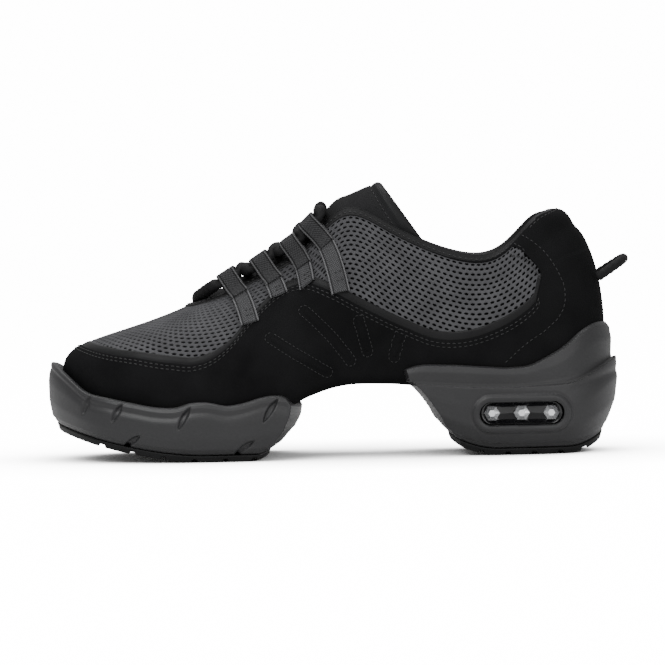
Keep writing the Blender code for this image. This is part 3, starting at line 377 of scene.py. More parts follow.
def height_at(u, table):
    """h where the profile at u crosses a side-view curve of (along, rise) rows."""
    h = np.linspace(0, 1, 241)
    result = []
    for place in np.atleast_1d(u):
        p = point(np.full_like(h, place), h)
        edge = HEEL_SEAT + smooth(x_to_along(p[:, 0]), table) * UPPER_HEIGHT
        above = p[:, 2] - edge
        crossing = np.nonzero((above[:-1] < 0) & (above[1:] >= 0))[0]
        if len(crossing):
            k = crossing[0]
            result.append(h[k] + (h[k + 1] - h[k]) * above[k] / (above[k] - above[k + 1]))
        else:
            result.append(1.0 if above[-1] < 0 else 0.0)
    return np.array(result)


def height_below_top(u, distance):
    """h at a distance below the collar or throat, measured along the profile."""
    h = np.linspace(1, 0, 241)
    result = []
    for place in np.atleast_1d(u):
        p = point(np.full_like(h, place), h)
        length = np.concatenate([[0], np.cumsum(np.linalg.norm(np.diff(p, axis=0), axis=1))])
        result.append(np.interp(distance, length, h))
    return np.array(result)


def side_grid(side):
    """(u, h, points) all over one side of the foot, fine enough to find a place on it."""
    low, high = (0.5, TOE - 0.5) if side < 0 else (TOE + 0.5, STATION_COUNT - 0.5)
    u, h = np.meshgrid(np.linspace(low, high, 281), np.linspace(0, 1, 161), indexing="ij")
    return u, h, point(u, h)


SIDE_GRIDS = {side: side_grid(side) for side in (-1, 1)}


def place_of(along, rise, side):
    """(u, h) of the point of the outer face that shows at this place from the side."""
    u, h, p = SIDE_GRIDS[side]
    x, z = along_to_x(along), HEEL_SEAT + rise * UPPER_HEIGHT
    k = np.argmin((p[..., 0] - x) ** 2 + (p[..., 2] - z) ** 2)
    return u.flat[k], h.flat[k]


def resample(points, count):
    length = np.concatenate([[0], np.cumsum(np.linalg.norm(np.diff(points, axis=0), axis=1))])
    at = np.linspace(0, length[-1], count)
    return np.column_stack([np.interp(at, length, points[:, k]) for k in range(3)])


def sole_bottom(x):
    """The underside of the outsoles: flat under the ball and heel, lifted at toe, arch and back."""
    toe = np.clip((TOE_SPRING_X - x) / TOE_SPRING_RUN, 0, None)
    arch_front = np.clip((x - BALL_BACK_X) / BALL_BACK_RUN, 0, 1)
    heel_front = np.clip((HEEL_FRONT_X - x) / HEEL_FRONT_RUN, 0, None)
    heel_back = np.clip((x - HEEL_CURVE_X) / HEEL_CURVE_RUN, 0, None)
    front = SOLE_TOE_LIFT * toe**1.7 + BALL_BACK_LIFT * arch_front**2
    back = HEEL_FRONT_LIFT * heel_front**2 + HEEL_CURVE_LIFT * heel_back**2
    return np.where(x < (FOREFOOT_END_X + HEEL_END_X) / 2, front, back)


def edge_height(x, table):
    return HEEL_SEAT * smooth(x_to_along(x), table)


def bridge(outer, inner, count=5):
    """Points of a curve from one throat edge to the other that leaves both smoothly."""
    a, b = outer[-1], inner[-1]
    reach = 0.42 * np.linalg.norm(b - a)
    first = (outer[-1] - outer[-2]) / np.linalg.norm(outer[-1] - outer[-2])
    second = (inner[-1] - inner[-2]) / np.linalg.norm(inner[-1] - inner[-2])
    t = np.linspace(0, 1, count + 2)[1:-1, None]
    p, q = a + first * reach, b + second * reach
    return a * (1 - t) ** 3 + 3 * p * t * (1 - t) ** 2 + 3 * q * t * t * (1 - t) + b * t**3


def tongue_rows():
    """The tongue's outer face, row by row from the vamp to its free top edge: under each throat
    edge it follows the upper's own inner face, and between them it arches over."""
    rows = []
    depth = WALL + 2 * GAP
    for s in (12.4, 11.6, 10.8, 10.0, 9.5, 9.0, 8.5, 8.0, 7.6, 7.2):
        low = height_below_top(s, 11 * MM)[0]
        h = np.linspace(low, 1.0, 4)
        outer = surface(np.full(4, s), h, -depth)
        inner = surface(np.full(4, STATION_COUNT - s), h, -depth)
        rows.append(np.concatenate([outer, bridge(outer, inner), inner[::-1]]))
    last = rows[-1]
    turn = np.linspace(-1, 1, len(last))
    top = np.column_stack(
        [
            TONGUE_TOP_X + (TONGUE_SIDE_X - TONGUE_TOP_X) * np.abs(turn) ** 2.2,
            TONGUE_SIDE_Y * np.sin(turn * np.pi / 2),
            TONGUE_TOP_Z + (TONGUE_SIDE_Z - TONGUE_TOP_Z) * np.abs(turn) ** 2.2,
        ]
    )
    for share in (0.3, 0.6, 0.85, 1.0):
        rows.append(last + (top - last) * share)
    return np.array(rows)


def grid_normals(grid):
    along = np.gradient(grid, axis=0)
    across = np.gradient(grid, axis=1)
    normal = np.cross(along, across)
    return normal / np.linalg.norm(normal, axis=-1, keepdims=True)


def strap_places(row, side):
    """(u, h) of the middle of one webbing loop's lying part, from the suede up to the throat."""
    foot = place_of(row["foot_along"], row["foot_rise"], side)
    head = place_of(row["head_along"], row["head_rise"], side)
    share = np.linspace(0, 1, 6)
    return foot[0] + (head[0] - foot[0]) * share, foot[1] + (STRAP_HEAD - foot[1]) * share


def strap_frame(row, side):
    """Points, outward normals and directions along the middle of one webbing loop."""
    u, h = strap_places(row, side)
    centre = surface(u, h)
    normal = surface(u, h, 1.0) - centre
    along = np.gradient(centre, axis=0)
    along /= np.linalg.norm(along, axis=1, keepdims=True)
    return centre, normal, along


def lace_seat(row, side):
    """Centre of the lace inside one webbing loop, the loop's axis, and the way into the throat."""
    centre, normal, along = strap_frame(row, side)
    axis = np.cross(normal[-1], along[-1])
    axis *= -np.sign(axis[0])
    up = GAP + STRAP + LACE_DIAMETER / 2 + LOOP_PLAY
    return centre[-1] + along[-1] * 2.0 * MM + normal[-1] * up, axis, along[-1]


def smooth_route(points, count):
    """A smooth open curve through the points, read at even steps."""
    points = np.array(points)
    padded = np.concatenate([[2 * points[0] - points[1]], points, [2 * points[-1] - points[-2]]])
    curve = []
    for k in range(len(points) - 1):
        a, b, c, d = padded[k : k + 4]
        t = np.linspace(0, 1, 12, endpoint=False)[:, None]
        curve.append(
            0.5
            * (
                2 * b
                + (c - a) * t
                + (2 * a - 5 * b + 4 * c - d) * t**2
                + (3 * b - a - 3 * c + d) * t**3
            )
        )
    return resample(np.concatenate([*curve, points[-1:]]), count)


def relax(path, passes):
    """The path with its bends rounded off, its two ends kept."""
    path = path.copy()
    for _ in range(passes):
        path[1:-1] += 0.5 * ((path[:-2] + path[2:]) / 2 - path[1:-1])
    return path


def ridge(x):
    """Height of the tongue's crown under the lace at x."""
    rows = tongue_rows()
    crown = rows[:, rows.shape[1] // 2]
    order = np.argsort(crown[:, 0])
    return np.interp(x, crown[order, 0], crown[order, 2])


# %% [markdown]
# ## Making meshes
#
# A piece is an array of corners and an array of faces. Grids are laid out with numpy and written to
# Blender in one go, with a UV that counts metres along the piece.

# %% Making meshes
SHOE_MIDDLE = point(TOE / 2, 0.5) * [1, 0, 1]


def faces_out(corners, quads):
    """The faces turned so that they look away from the shoe's middle: the pyramids from there to the
    faces then add up to more than nothing."""
    a, b, c, d = np.moveaxis(corners[quads] - SHOE_MIDDLE, 1, 0)
    pyramids = np.einsum("ij,ij->i", np.cross(b - a, d - a) + np.cross(d - c, b - c), a + b + c + d)
    if pyramids.sum() > 0:
        return quads
    triangle = (quads[:, 2] == quads[:, 3])[:, None]
    return np.where(triangle, quads[:, [1, 0, 2, 2]], quads[:, ::-1])


def new_piece(name, corners, quads, materials, face_material=None, uv=None, smooth_faces=True):
    """A mesh object from an (n, 3) array of corners and an (m, 4) array of faces. A face with a
    repeated last corner is a triangle."""
    corners, quads = np.asarray(corners, float), np.asarray(quads, int)
    quads = faces_out(corners, quads)
    triangle = quads[:, 2] == quads[:, 3]
    sizes = np.where(triangle, 3, 4)
    keep = np.ones(quads.shape, bool)
    keep[triangle, 3] = False
    loops = quads[keep]
    starts = np.concatenate([[0], np.cumsum(sizes)[:-1]])
    mesh = bpy.data.meshes.new(name)
    mesh.vertices.add(len(corners))
    mesh.loops.add(len(loops))
    mesh.polygons.add(len(quads))
    mesh.vertices.foreach_set("co", corners.ravel())
    mesh.loops.foreach_set("vertex_index", loops)
    mesh.polygons.foreach_set("loop_start", starts)
    mesh.polygons.foreach_set("use_smooth", np.full(len(quads), smooth_faces))
    for made in materials:
        mesh.materials.append(made)
    if face_material is not None:
        mesh.polygons.foreach_set("material_index", np.asarray(face_material, np.int32))
    if uv is not None:
        layer = mesh.uv_layers.new(name="metres")
        layer.data.foreach_set("uv", np.asarray(uv, float)[loops].ravel())
    mesh.update(calc_edges=True)
    mesh.validate()
    piece = bpy.data.objects.new(name, mesh)
    bpy.context.scene.collection.objects.link(piece)
    return piece


def grid_quads(rows, across, wrap=False, first=0):
    """Faces of a rows x across grid of corners; wrap joins the last column to the first."""
    r = np.arange(rows - 1)[:, None]
    c = np.arange(across if wrap else across - 1)[None, :]
    d = (c + 1) % across
    a, b = r * across + c, r * across + d
    return np.stack([a, b, b + across, a + across], axis=-1).reshape(-1, 4) + first


def lengths_along(grid, axis):
    """Distance travelled along one axis of a grid of points."""
    step = np.linalg.norm(np.diff(grid, axis=axis), axis=-1)
    zero = np.zeros_like(np.take(step, [0], axis=axis))
    return np.cumsum(np.concatenate([zero, step], axis=axis), axis=axis)


def grid_uv(grid):
    """Metres across and along the grid, for each corner."""
    return np.stack([lengths_along(grid, 1), lengths_along(grid, 0)], axis=-1).reshape(-1, 2)


def grid_piece(name, grid, material, wrap=False):
    """A piece made of one grid of points, its UV in metres."""
    quads = grid_quads(*grid.shape[:2], wrap=wrap)
    return new_piece(name, grid.reshape(-1, 3), quads, [material], uv=grid_uv(grid))


def rim_quads(rows, across):
    """Faces that join the border of a grid to the border of a second grid laid after it."""
    size = rows * across
    border = np.concatenate(
        [
            np.arange(0, rows - 1) * across,
            np.arange(size - across, size - 1),
            np.arange(size - 1, across - 1, -across),
            np.arange(across - 1, 0, -1),
        ]
    )
    following = np.roll(border, -1)
    return np.stack([border, following, following + size, border + size], axis=1)


def cap_quads(count):
    """Faces laid straight across a closed ring of corners."""
    i = np.arange(count // 2 - 1)
    return np.stack([i, i + 1, count - 2 - i, count - 1 - i], axis=1)


def dress(piece, slot_name, *nodes):
    """Lets the piece ride on the shoe and hides the solids it stands for. The slot name is not used."""
    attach(piece, "root")
    if nodes:
        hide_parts(*nodes)
    print(f"{piece.name}: {len(piece.data.polygons)} faces")
    return piece


def spline_rows(values, count):
    """A Catmull-Rom curve through rows of points, read at count places by row number."""
    values = np.asarray(values, float)
    at = np.linspace(0, len(values) - 1, count)
    i = np.clip(at.astype(int), 0, len(values) - 2)
    t = (at - i).reshape(-1, *([1] * (values.ndim - 1)))
    padded = np.concatenate([[2 * values[0] - values[1]], values, [2 * values[-1] - values[-2]]])
    a, b, c, d = padded[i], padded[i + 1], padded[i + 2], padded[i + 3]
    return 0.5 * (
        2 * b + (c - a) * t + (2 * a - 5 * b + 4 * c - d) * t**2 + (3 * b - a - 3 * c + d) * t**3
    )


def both_ways(grid, rows, across):
    """The grid read finer both ways through Catmull-Rom curves."""
    finer = spline_rows(grid, rows)
    return spline_rows(finer.swapaxes(0, 1), across).swapaxes(0, 1)


# %% [markdown]
# ## Materials
#
# Each is a Principled shader with a fine procedural grain. Colour stays nearly even and the grain is
# in the bump, as on suede, rubber and webbing.

# %% Materials


def new_material(name, colour, roughness, specular=0.5, metallic=0.0):
    """A material, its node tree and its Principled shader. Cloth and suede shine far less than the
    shader's usual 0.5, because light is lost between their hairs."""
    made = bpy.data.materials.new(name)
    made.use_nodes = True
    shader = made.node_tree.nodes["Principled BSDF"]
    shader.inputs["Base Color"].default_value = (*colour, 1)
    shader.inputs["Roughness"].default_value = roughness
    shader.inputs["Metallic"].default_value = metallic
    shader.inputs["Specular IOR Level"].default_value = specular
    return made, made.node_tree, shader


def add_node(tree, kind, **values):
    made = tree.nodes.new(kind)
    for key, value in values.items():
        if key in made.inputs:
            made.inputs[key].default_value = value
        else:
            setattr(made, key, value)
    return made


def noise_of(tree, scale, detail=3.0, source="Object"):
    """A noise texture in object or UV coordinates."""
    place = add_node(tree, "ShaderNodeTexCoord")
    noise = add_node(tree, "ShaderNodeTexNoise", Scale=scale, Detail=detail)
    tree.links.new(place.outputs[source], noise.inputs["Vector"])
    return noise.outputs["Fac"]


def tinted(tree, shader, factor, dark, light):
    """Base colour between two tones as factor goes from 0.3 to 0.7."""
    ramp = add_node(tree, "ShaderNodeValToRGB")
    ramp.color_ramp.elements[0].position = 0.3
    ramp.color_ramp.elements[1].position = 0.7
    ramp.color_ramp.elements[0].color = (*dark, 1)
    ramp.color_ramp.elements[1].color = (*light, 1)
    tree.links.new(factor, ramp.inputs["Fac"])
    tree.links.new(ramp.outputs["Color"], shader.inputs["Base Color"])


def bumped(tree, shader, height, distance, strength=1.0):
    bump = add_node(tree, "ShaderNodeBump", Strength=strength, Distance=distance)
    tree.links.new(height, bump.inputs["Height"])
    if shader.inputs["Normal"].links:
        tree.links.new(shader.inputs["Normal"].links[0].from_socket, bump.inputs["Normal"])
    tree.links.new(bump.outputs["Normal"], shader.inputs["Normal"])


def maths(tree, operation, a, b=None):
    made = add_node(tree, "ShaderNodeMath", operation=operation)
    for k, value in enumerate((a, b)):
        if value is None:
            continue
        if isinstance(value, (int, float)):
            made.inputs[k].default_value = value
        else:
            tree.links.new(value, made.inputs[k])
    return made.outputs[0]


def grained(name, dark, light, roughness, specular, scale, distance, coarse=60.0):
    """A matt material with a fine grain in its bump and a slow change of tone, both greys."""
    dark, light = (dark, dark, dark * 1.06), (light, light, light * 1.06)
    made, tree, shader = new_material(name, light, roughness, specular)
    tinted(tree, shader, noise_of(tree, coarse, 5.0), dark, light)
    bumped(tree, shader, noise_of(tree, scale, 4.0), distance)
    return made


def woven(name, dark, light, edge, half_width=STRAP_WIDTH / 2, pitch=1.0 * MM, roughness=0.8):
    """Webbing: ribs along and across its UV, with a lighter line beside each edge. The UV's first
    value is the distance from the middle line, its second the distance along."""
    made, tree, shader = new_material(name, light, roughness, 0.1)
    place = add_node(tree, "ShaderNodeUVMap", uv_map="metres")
    split = add_node(tree, "ShaderNodeSeparateXYZ")
    tree.links.new(place.outputs["UV"], split.inputs[0])
    x, y = split.outputs[0], split.outputs[1]
    turn = 2 * np.pi / pitch
    warp = maths(tree, "SINE", maths(tree, "MULTIPLY", x, turn))
    weft = maths(tree, "SINE", maths(tree, "MULTIPLY", y, turn * 0.8))
    weave = maths(tree, "MULTIPLY", warp, weft)
    share = maths(tree, "ADD", maths(tree, "MULTIPLY", weave, 0.5), 0.5)
    mixed = add_node(tree, "ShaderNodeMix", data_type="RGBA")
    mixed.inputs["A"].default_value = (*dark, 1)
    mixed.inputs["B"].default_value = (*light, 1)
    tree.links.new(share, mixed.inputs["Factor"])
    away = maths(tree, "ABSOLUTE", x)
    socket = mixed.outputs["Result"]
    for colour, near, far in ((dark, 0.66, 0.82), (edge, 0.82, 0.97)):
        inside = maths(tree, "GREATER_THAN", away, half_width * near)
        line = maths(tree, "MULTIPLY", inside, maths(tree, "LESS_THAN", away, half_width * far))
        lined = add_node(tree, "ShaderNodeMix", data_type="RGBA")
        lined.inputs["B"].default_value = (*colour, 1)
        tree.links.new(line, lined.inputs["Factor"])
        tree.links.new(socket, lined.inputs["A"])
        socket = lined.outputs["Result"]
    tree.links.new(socket, shader.inputs["Base Color"])
    bumped(tree, shader, weave, 0.25 * MM)
    return made


SUEDE = grained("suede", 0.0042, 0.0072, 0.93, 0.04, 2600, 0.12 * MM, 45)
TRIM = grained("trim", 0.0055, 0.0085, 0.5, 0.12, 1800, 0.05 * MM)
LINING = grained("lining", 0.007, 0.012, 0.9, 0.1, 1500, 0.15 * MM)
YARN = grained("yarn", 0.042, 0.060, 0.8, 0.1, 3200, 0.1 * MM, 90)
BACKING = grained("backing", 0.0015, 0.0025, 0.95, 0.0, 1500, 0.1 * MM)
TONGUE_CLOTH = grained("tongue_cloth", 0.007, 0.012, 0.8, 0.1, 2200, 0.15 * MM)
MIDSOLE = grained("midsole", 0.0145, 0.0185, 0.45, 0.3, 2400, 0.05 * MM, 30)
OUTSOLE_RUBBER = grained("outsole", 0.0045, 0.007, 0.55, 0.15, 1900, 0.06 * MM)
THREAD = grained("thread", 0.009, 0.014, 0.55, 0.3, 4000, 0.03 * MM)
CORD = grained("cord", 0.0035, 0.0065, 0.7, 0.15, 4000, 0.04 * MM)
WEBBING = woven("webbing", (0.02, 0.02, 0.021), (0.085, 0.085, 0.088), (0.12, 0.12, 0.124))
# Painted shade: a darker copy of the webbing, laid on the turned part of each loop.
SHADED_WEBBING = woven("webbing_painted_shade", (0.012, 0.012, 0.0125), (0.055, 0.055, 0.057), (0.08, 0.08, 0.082))
CUSHION = new_material("cushion", (0.006, 0.006, 0.007), 0.12)[0]
CAPSULE = new_material("capsule", (0.85, 0.86, 0.88), 0.2, metallic=0.75)[0]
print("materials", len(bpy.data.materials))

# %% [markdown]
# ## Soft folds
#
# The main creases, placed from the photo: each is a trough or a low swell on a straight line
# in the side view, that fades out at its ends.

# %% Soft folds
FOLD_COLUMNS = ("along", "rise", "length", "turn", "width", "depth")
FOLDS = (
    (0.640, 0.230, 34.0 * MM, 62.0, 3.4 * MM, 0.75 * MM),
    (0.665, 0.235, 30.0 * MM, 66.0, 3.6 * MM, -0.55 * MM),
    (0.695, 0.225, 26.0 * MM, 70.0, 3.2 * MM, 0.55 * MM),
    (0.545, 0.170, 40.0 * MM, 30.0, 4.5 * MM, 0.75 * MM),
    (0.520, 0.235, 38.0 * MM, 34.0, 4.5 * MM, -0.5 * MM),
    (0.470, 0.120, 44.0 * MM, 12.0, 5.0 * MM, 0.8 * MM),
    (0.420, 0.260, 46.0 * MM, -22.0, 5.5 * MM, 0.6 * MM),
    (0.330, 0.200, 40.0 * MM, -35.0, 5.0 * MM, 0.7 * MM),
    (0.300, 0.420, 30.0 * MM, -62.0, 5.0 * MM, 0.9 * MM),
    (0.345, 0.520, 26.0 * MM, -58.0, 4.6 * MM, 0.8 * MM),
    (0.258, 0.560, 24.0 * MM, -70.0, 4.2 * MM, 0.7 * MM),
    (0.215, 0.440, 28.0 * MM, -78.0, 4.2 * MM, -0.6 * MM),
    (0.108, 0.420, 24.0 * MM, 78.0, 5.0 * MM, 0.5 * MM),
    (0.060, 0.640, 20.0 * MM, 86.0, 5.0 * MM, 0.5 * MM),
    (0.760, 0.180, 24.0 * MM, 78.0, 4.0 * MM, 0.4 * MM),
    (0.860, 0.140, 22.0 * MM, 80.0, 4.5 * MM, -0.35 * MM),
)


def fold_offset(points):
    """How far the cloth moves out at each point: the sum of the folds there."""
    fold = columns(FOLDS, FOLD_COLUMNS)
    total = np.zeros(points.shape[:-1])
    for k in range(len(FOLDS)):
        dx = points[..., 0] - along_to_x(fold["along"][k])
        dz = points[..., 2] - (HEEL_SEAT + fold["rise"][k] * UPPER_HEIGHT)
        turn = np.radians(fold["turn"][k])
        s = dx * np.cos(turn) + dz * np.sin(turn)
        v = -dx * np.sin(turn) + dz * np.cos(turn) + s * s * 4.0
        past = np.clip(np.abs(s) - fold["length"][k] * 0.25, 0, None) / (fold["length"][k] * 0.25)
        total -= fold["depth"][k] * np.exp(-((v / fold["width"][k]) ** 2)) * np.exp(-(past**2))
    return total


def ankle_share(u):
    """1 at the heel and ankle, 0 from the throat forwards."""
    u = u % STATION_COUNT
    return np.clip(1.0 - (np.minimum(u, STATION_COUNT - u) - 4.0) / 2.0, 0, 1)


def cloth(u, h, offset=0.0):
    """A point of the dressed upper: the surface, its folds, and the swell of the padded collar."""
    u, h = np.broadcast_arrays(np.asarray(u, float), np.asarray(h, float))
    flat = surface(u, h)
    fade = np.clip((1.0 - h) / 0.05, 0, 1) * np.clip(h / 0.15, 0, 1)
    pad = 1.1 * MM * np.exp(-(((h - 0.88) / 0.075) ** 2)) * ankle_share(u)
    pad = pad - 0.7 * MM * np.exp(-(((h - 0.74) / 0.05) ** 2)) * ankle_share(u)
    return surface(u, h, np.asarray(offset) + fold_offset(flat) * fade + pad)


# %% [markdown]
# ## Where the panels end
#
# The shell of the upper is one grid with a slot for the mesh panel. For every column, low is where
# the suede stops under the mesh, high is where the binding or the heel counter starts above it.

# %% Panel edges
NOSE = place_of(SUEDE_EDGE[0][0], SUEDE_EDGE[0][1] + 0.02, -1)[0] + 0.02
SHELL_STEPS = 620
HEEL_COLUMNS = 150


def panel_edges(u):
    """(low, high) of the mesh panel at each column between its two noses, which it meets round."""
    low = height_at(u, SUEDE_EDGE)
    binding = height_below_top(u, BINDING)
    back = height_at(u, PANEL_BACK)
    at_side = np.minimum(u, STATION_COUNT - u) < 5.5
    high = np.where(at_side, np.minimum(binding, back), binding)
    from_nose = np.minimum(u - NOSE, STATION_COUNT - NOSE - u)
    share = np.sqrt(np.clip(from_nose / 0.3, 0, 1))
    middle = (low + high) / 2
    kernel = np.array([1, 2, 3, 2, 1]) / 9
    high = np.convolve(np.pad(high, 2, mode="edge"), kernel, mode="valid")
    low = np.convolve(np.pad(low, 2, mode="edge"), kernel, mode="valid")
    return middle + (low - middle) * share, middle + (high - middle) * share


PANEL_U = np.linspace(NOSE, STATION_COUNT - NOSE, SHELL_STEPS)
PANEL_LOW, PANEL_HIGH = panel_edges(PANEL_U)
HEEL_U = np.linspace(STATION_COUNT - NOSE, STATION_COUNT + NOSE, HEEL_COLUMNS + 1)[1:-1]
NOSE_H = PANEL_LOW[0]
SHELL_U = np.concatenate([PANEL_U, HEEL_U])
SHELL_LOW = np.concatenate([PANEL_LOW, np.full(len(HEEL_U), NOSE_H)])
SHELL_HIGH = np.concatenate([PANEL_HIGH, np.full(len(HEEL_U), NOSE_H)])
FROM_NOSE = np.minimum(PANEL_U - NOSE, STATION_COUNT - NOSE - PANEL_U)
SLIT = np.concatenate([np.clip(FROM_NOSE / 0.12, 0, 1), np.zeros(len(HEEL_U))])


def per_metre(u, h):
    """How much h changes for one metre along the profile."""
    step = 0.004
    rise = point(u, np.minimum(h + step, 1)) - point(u, np.maximum(h - step, 0))
    return 2 * step / np.linalg.norm(rise, axis=-1)


LOW_RATE = per_metre(SHELL_U, SHELL_LOW)
HIGH_RATE = per_metre(SHELL_U, SHELL_HIGH)
print("panel from", round(float(NOSE), 2), "to", round(float(STATION_COUNT - NOSE), 2))

# %% [markdown]
# ## Shell of the upper
#
# Rows run up each column: under the foot's edge, up the suede to its rolled edge, then on from the
# binding or counter to the collar, over the padded rim and down the lining inside.

# %% Shell of the upper
ROLL = 0.85 * MM
ROLL_BACK = 1.2
EDGE_DROP = 0.12 * MM
RIM_SWELL = 0.9 * MM
RIM_STEPS = 9


def shell_rows():
    """(h, offset) of every row and column of the shell, the slit's row number and each row's part."""
    u, low, high = SHELL_U, SHELL_LOW, SHELL_HIGH
    h, off, part = [], [], []

    def row(height, offset, word):
        h.append(np.broadcast_to(height, u.shape))
        off.append(np.broadcast_to(offset, u.shape))
        part.append(word)

    def rolled(edge, rate, turn, word):
        drop = ROLL * (1 - np.cos(turn)) + EDGE_DROP * (turn > 1.5)
        row(edge + ROLL * rate * SLIT * (np.sin(turn) - ROLL_BACK), -drop * SLIT, word)

    for share in np.linspace(-1, -0.12, 8):
        row(share, 0.0, "suede")
    for share in np.linspace(0, 1, 44) ** 0.9:
        row((low - ROLL_BACK * ROLL * LOW_RATE * SLIT) * share, 0.0, "suede")
    for turn in np.radians((25, 50, 75, 90)):
        rolled(low, LOW_RATE, turn, "suede")
    slit = len(h)
    for turn in np.radians((90, 75, 50, 25)):
        rolled(high, -HIGH_RATE, turn, "upper")
    start = high + ROLL_BACK * ROLL * HIGH_RATE * SLIT
    for share in np.linspace(0, 1, 22):
        row(start + (1 - start) * share, 0.0, "upper")
    return np.array(h), np.array(off), part, slit


def rim_rows():
    """Points over the collar's rim, from the outer face to the lining: half an ellipse."""
    u = SHELL_U
    outer = cloth(u, 1.0)
    inner = cloth(u, 1.0, -wall_at(u, np.ones_like(u)))
    climb = cloth(u, 1.0) - cloth(u, 0.985)
    climb /= np.linalg.norm(climb, axis=-1, keepdims=True)
    middle, half = (outer + inner) / 2, (outer - inner) / 2
    turns = np.linspace(0, np.pi, RIM_STEPS + 2)[1:-1]
    return [middle + half * np.cos(t) + climb * RIM_SWELL * np.sin(t) for t in turns]


def build_shell():
    h, off, part, slit = shell_rows()
    u = np.broadcast_to(SHELL_U, h.shape)
    rows = list(cloth(u, h, off))
    rows += rim_rows()
    part += ["rim"] * RIM_STEPS
    for height in np.linspace(1, 0.0, 26):
        level = np.full(len(SHELL_U), height)
        rows.append(cloth(SHELL_U, level, -wall_at(SHELL_U, level)))
    for height in (-0.3, -0.6, -0.95):
        rows.append(surface(SHELL_U, np.full(len(SHELL_U), height), -WALL))
    part += ["lining"] * (len(rows) - len(part))
    grid = np.array(rows)
    n, m = grid.shape[:2]
    quads = grid_quads(n, m, wrap=True)
    row_of = np.repeat(np.arange(n - 1), m)
    column_of = np.tile(np.arange(m), n - 1)
    following = (column_of + 1) % m
    keep = ~((row_of == slit - 1) & (SLIT[column_of] > 0) & (SLIT[following] > 0))
    distance = lengths_along(grid[: slit + 26], 0)
    below_top = distance[-1][None, :] - distance
    trim_width = 2.4 * MM + (BINDING - 2.4 * MM) * (1 - ankle_share(SHELL_U))
    kinds = np.array([{"suede": 0, "upper": 0, "rim": 1, "lining": 2}[p] for p in part])
    finish = kinds[row_of]
    outer = (row_of >= slit) & (row_of < slit + 25)
    near = below_top[row_of[outer], column_of[outer]] <= trim_width[column_of[outer]] * 1.15
    finish[np.flatnonzero(outer)[near]] = 1
    cloths = [SUEDE, TRIM, LINING]
    piece = new_piece("upper_shell", grid.reshape(-1, 3), quads[keep], cloths, finish[keep], grid_uv(grid))
    return dress(piece, "suede", "upper")


def build_underside():
    """The bare bottom of the upper, seen in the arch between the two units."""
    u = np.linspace(0.02, TOE - 0.02, 160)
    share = np.linspace(0, 1, 18)[None, :, None]
    outer = surface(u, -1.0)[:, None, :]
    inner = surface(STATION_COUNT - u, -1.0)[:, None, :]
    grid = outer + (inner - outer) * share
    return dress(grid_piece("upper_underside", grid, SUEDE), "suede")


build_shell()
build_underside()

# %% [markdown]
# ## Mesh panel
#
# A knitted mesh with true holes: six-sided tiles in staggered rows, each with an oval hole that has
# a wall, over a dark backing cloth. Rows of tiles count down from the throat.

# %% Mesh panel
HOLE_PITCH = 2.9 * MM
ROW_PITCH = 2.3 * MM
HOLE_HALF = (1.0 * MM, 0.55 * MM)
MESH_TOP = -0.62 * MM
HOLE_DEPTH = 0.55 * MM
PIPING_WIDTH = 3.6 * MM
PIPING_PROFILE = (
    (-0.25, -0.55), (0.0, -0.42), (0.12, -0.24), (0.4, -0.14), (0.75, -0.16), (0.93, -0.3), (1.0, -0.66),
)


def profile_chart():
    """Columns u, their distance round the foot, and h for each distance below the top."""
    u = np.linspace(NOSE, STATION_COUNT - NOSE, 700)
    h = np.linspace(1, 0, 200)
    grid = point(u[:, None], h[None, :])
    down = lengths_along(grid, 1)
    round_foot = lengths_along(point(u, 0.62)[None], 1)[0]
    below = np.arange(0, 110) * MM
    table = np.array([np.interp(below, down[i], h) for i in range(len(u))])
    return u, round_foot, below, table


CHART_U, CHART_S, CHART_T, CHART_H = profile_chart()


def from_chart(s, t):
    """(u, h) of the place at distance s round the foot and t below the top."""
    u = np.interp(s, CHART_S, CHART_U)
    a = np.clip((u - CHART_U[0]) / (CHART_U[1] - CHART_U[0]), 0, len(CHART_U) - 1.001)
    b = np.clip(t / CHART_T[1], 0, len(CHART_T) - 1.001)
    i, j = a.astype(int), b.astype(int)
    a, b = a - i, b - j
    h = (
        CHART_H[i, j] * (1 - a) * (1 - b)
        + CHART_H[i + 1, j] * a * (1 - b)
        + CHART_H[i, j + 1] * (1 - a) * b
        + CHART_H[i + 1, j + 1] * a * b
    )
    return u, h


def tile_rings():
    """Offsets of one tile's twelve corners on its edge and on its hole."""
    x, z = HOLE_PITCH / 2, ROW_PITCH / 3
    corners = np.array([(0, 2 * z), (x, z), (x, -z), (0, -2 * z), (-x, -z), (-x, z)])
    edge = np.empty((12, 2))
    edge[0::2] = corners
    edge[1::2] = (corners + np.roll(corners, -1, axis=0)) / 2
    turn = np.arctan2(edge[:, 1] / HOLE_HALF[1], edge[:, 0] / HOLE_HALF[0])
    hole = np.column_stack([HOLE_HALF[0] * np.cos(turn), HOLE_HALF[1] * np.sin(turn)])
    return edge, hole


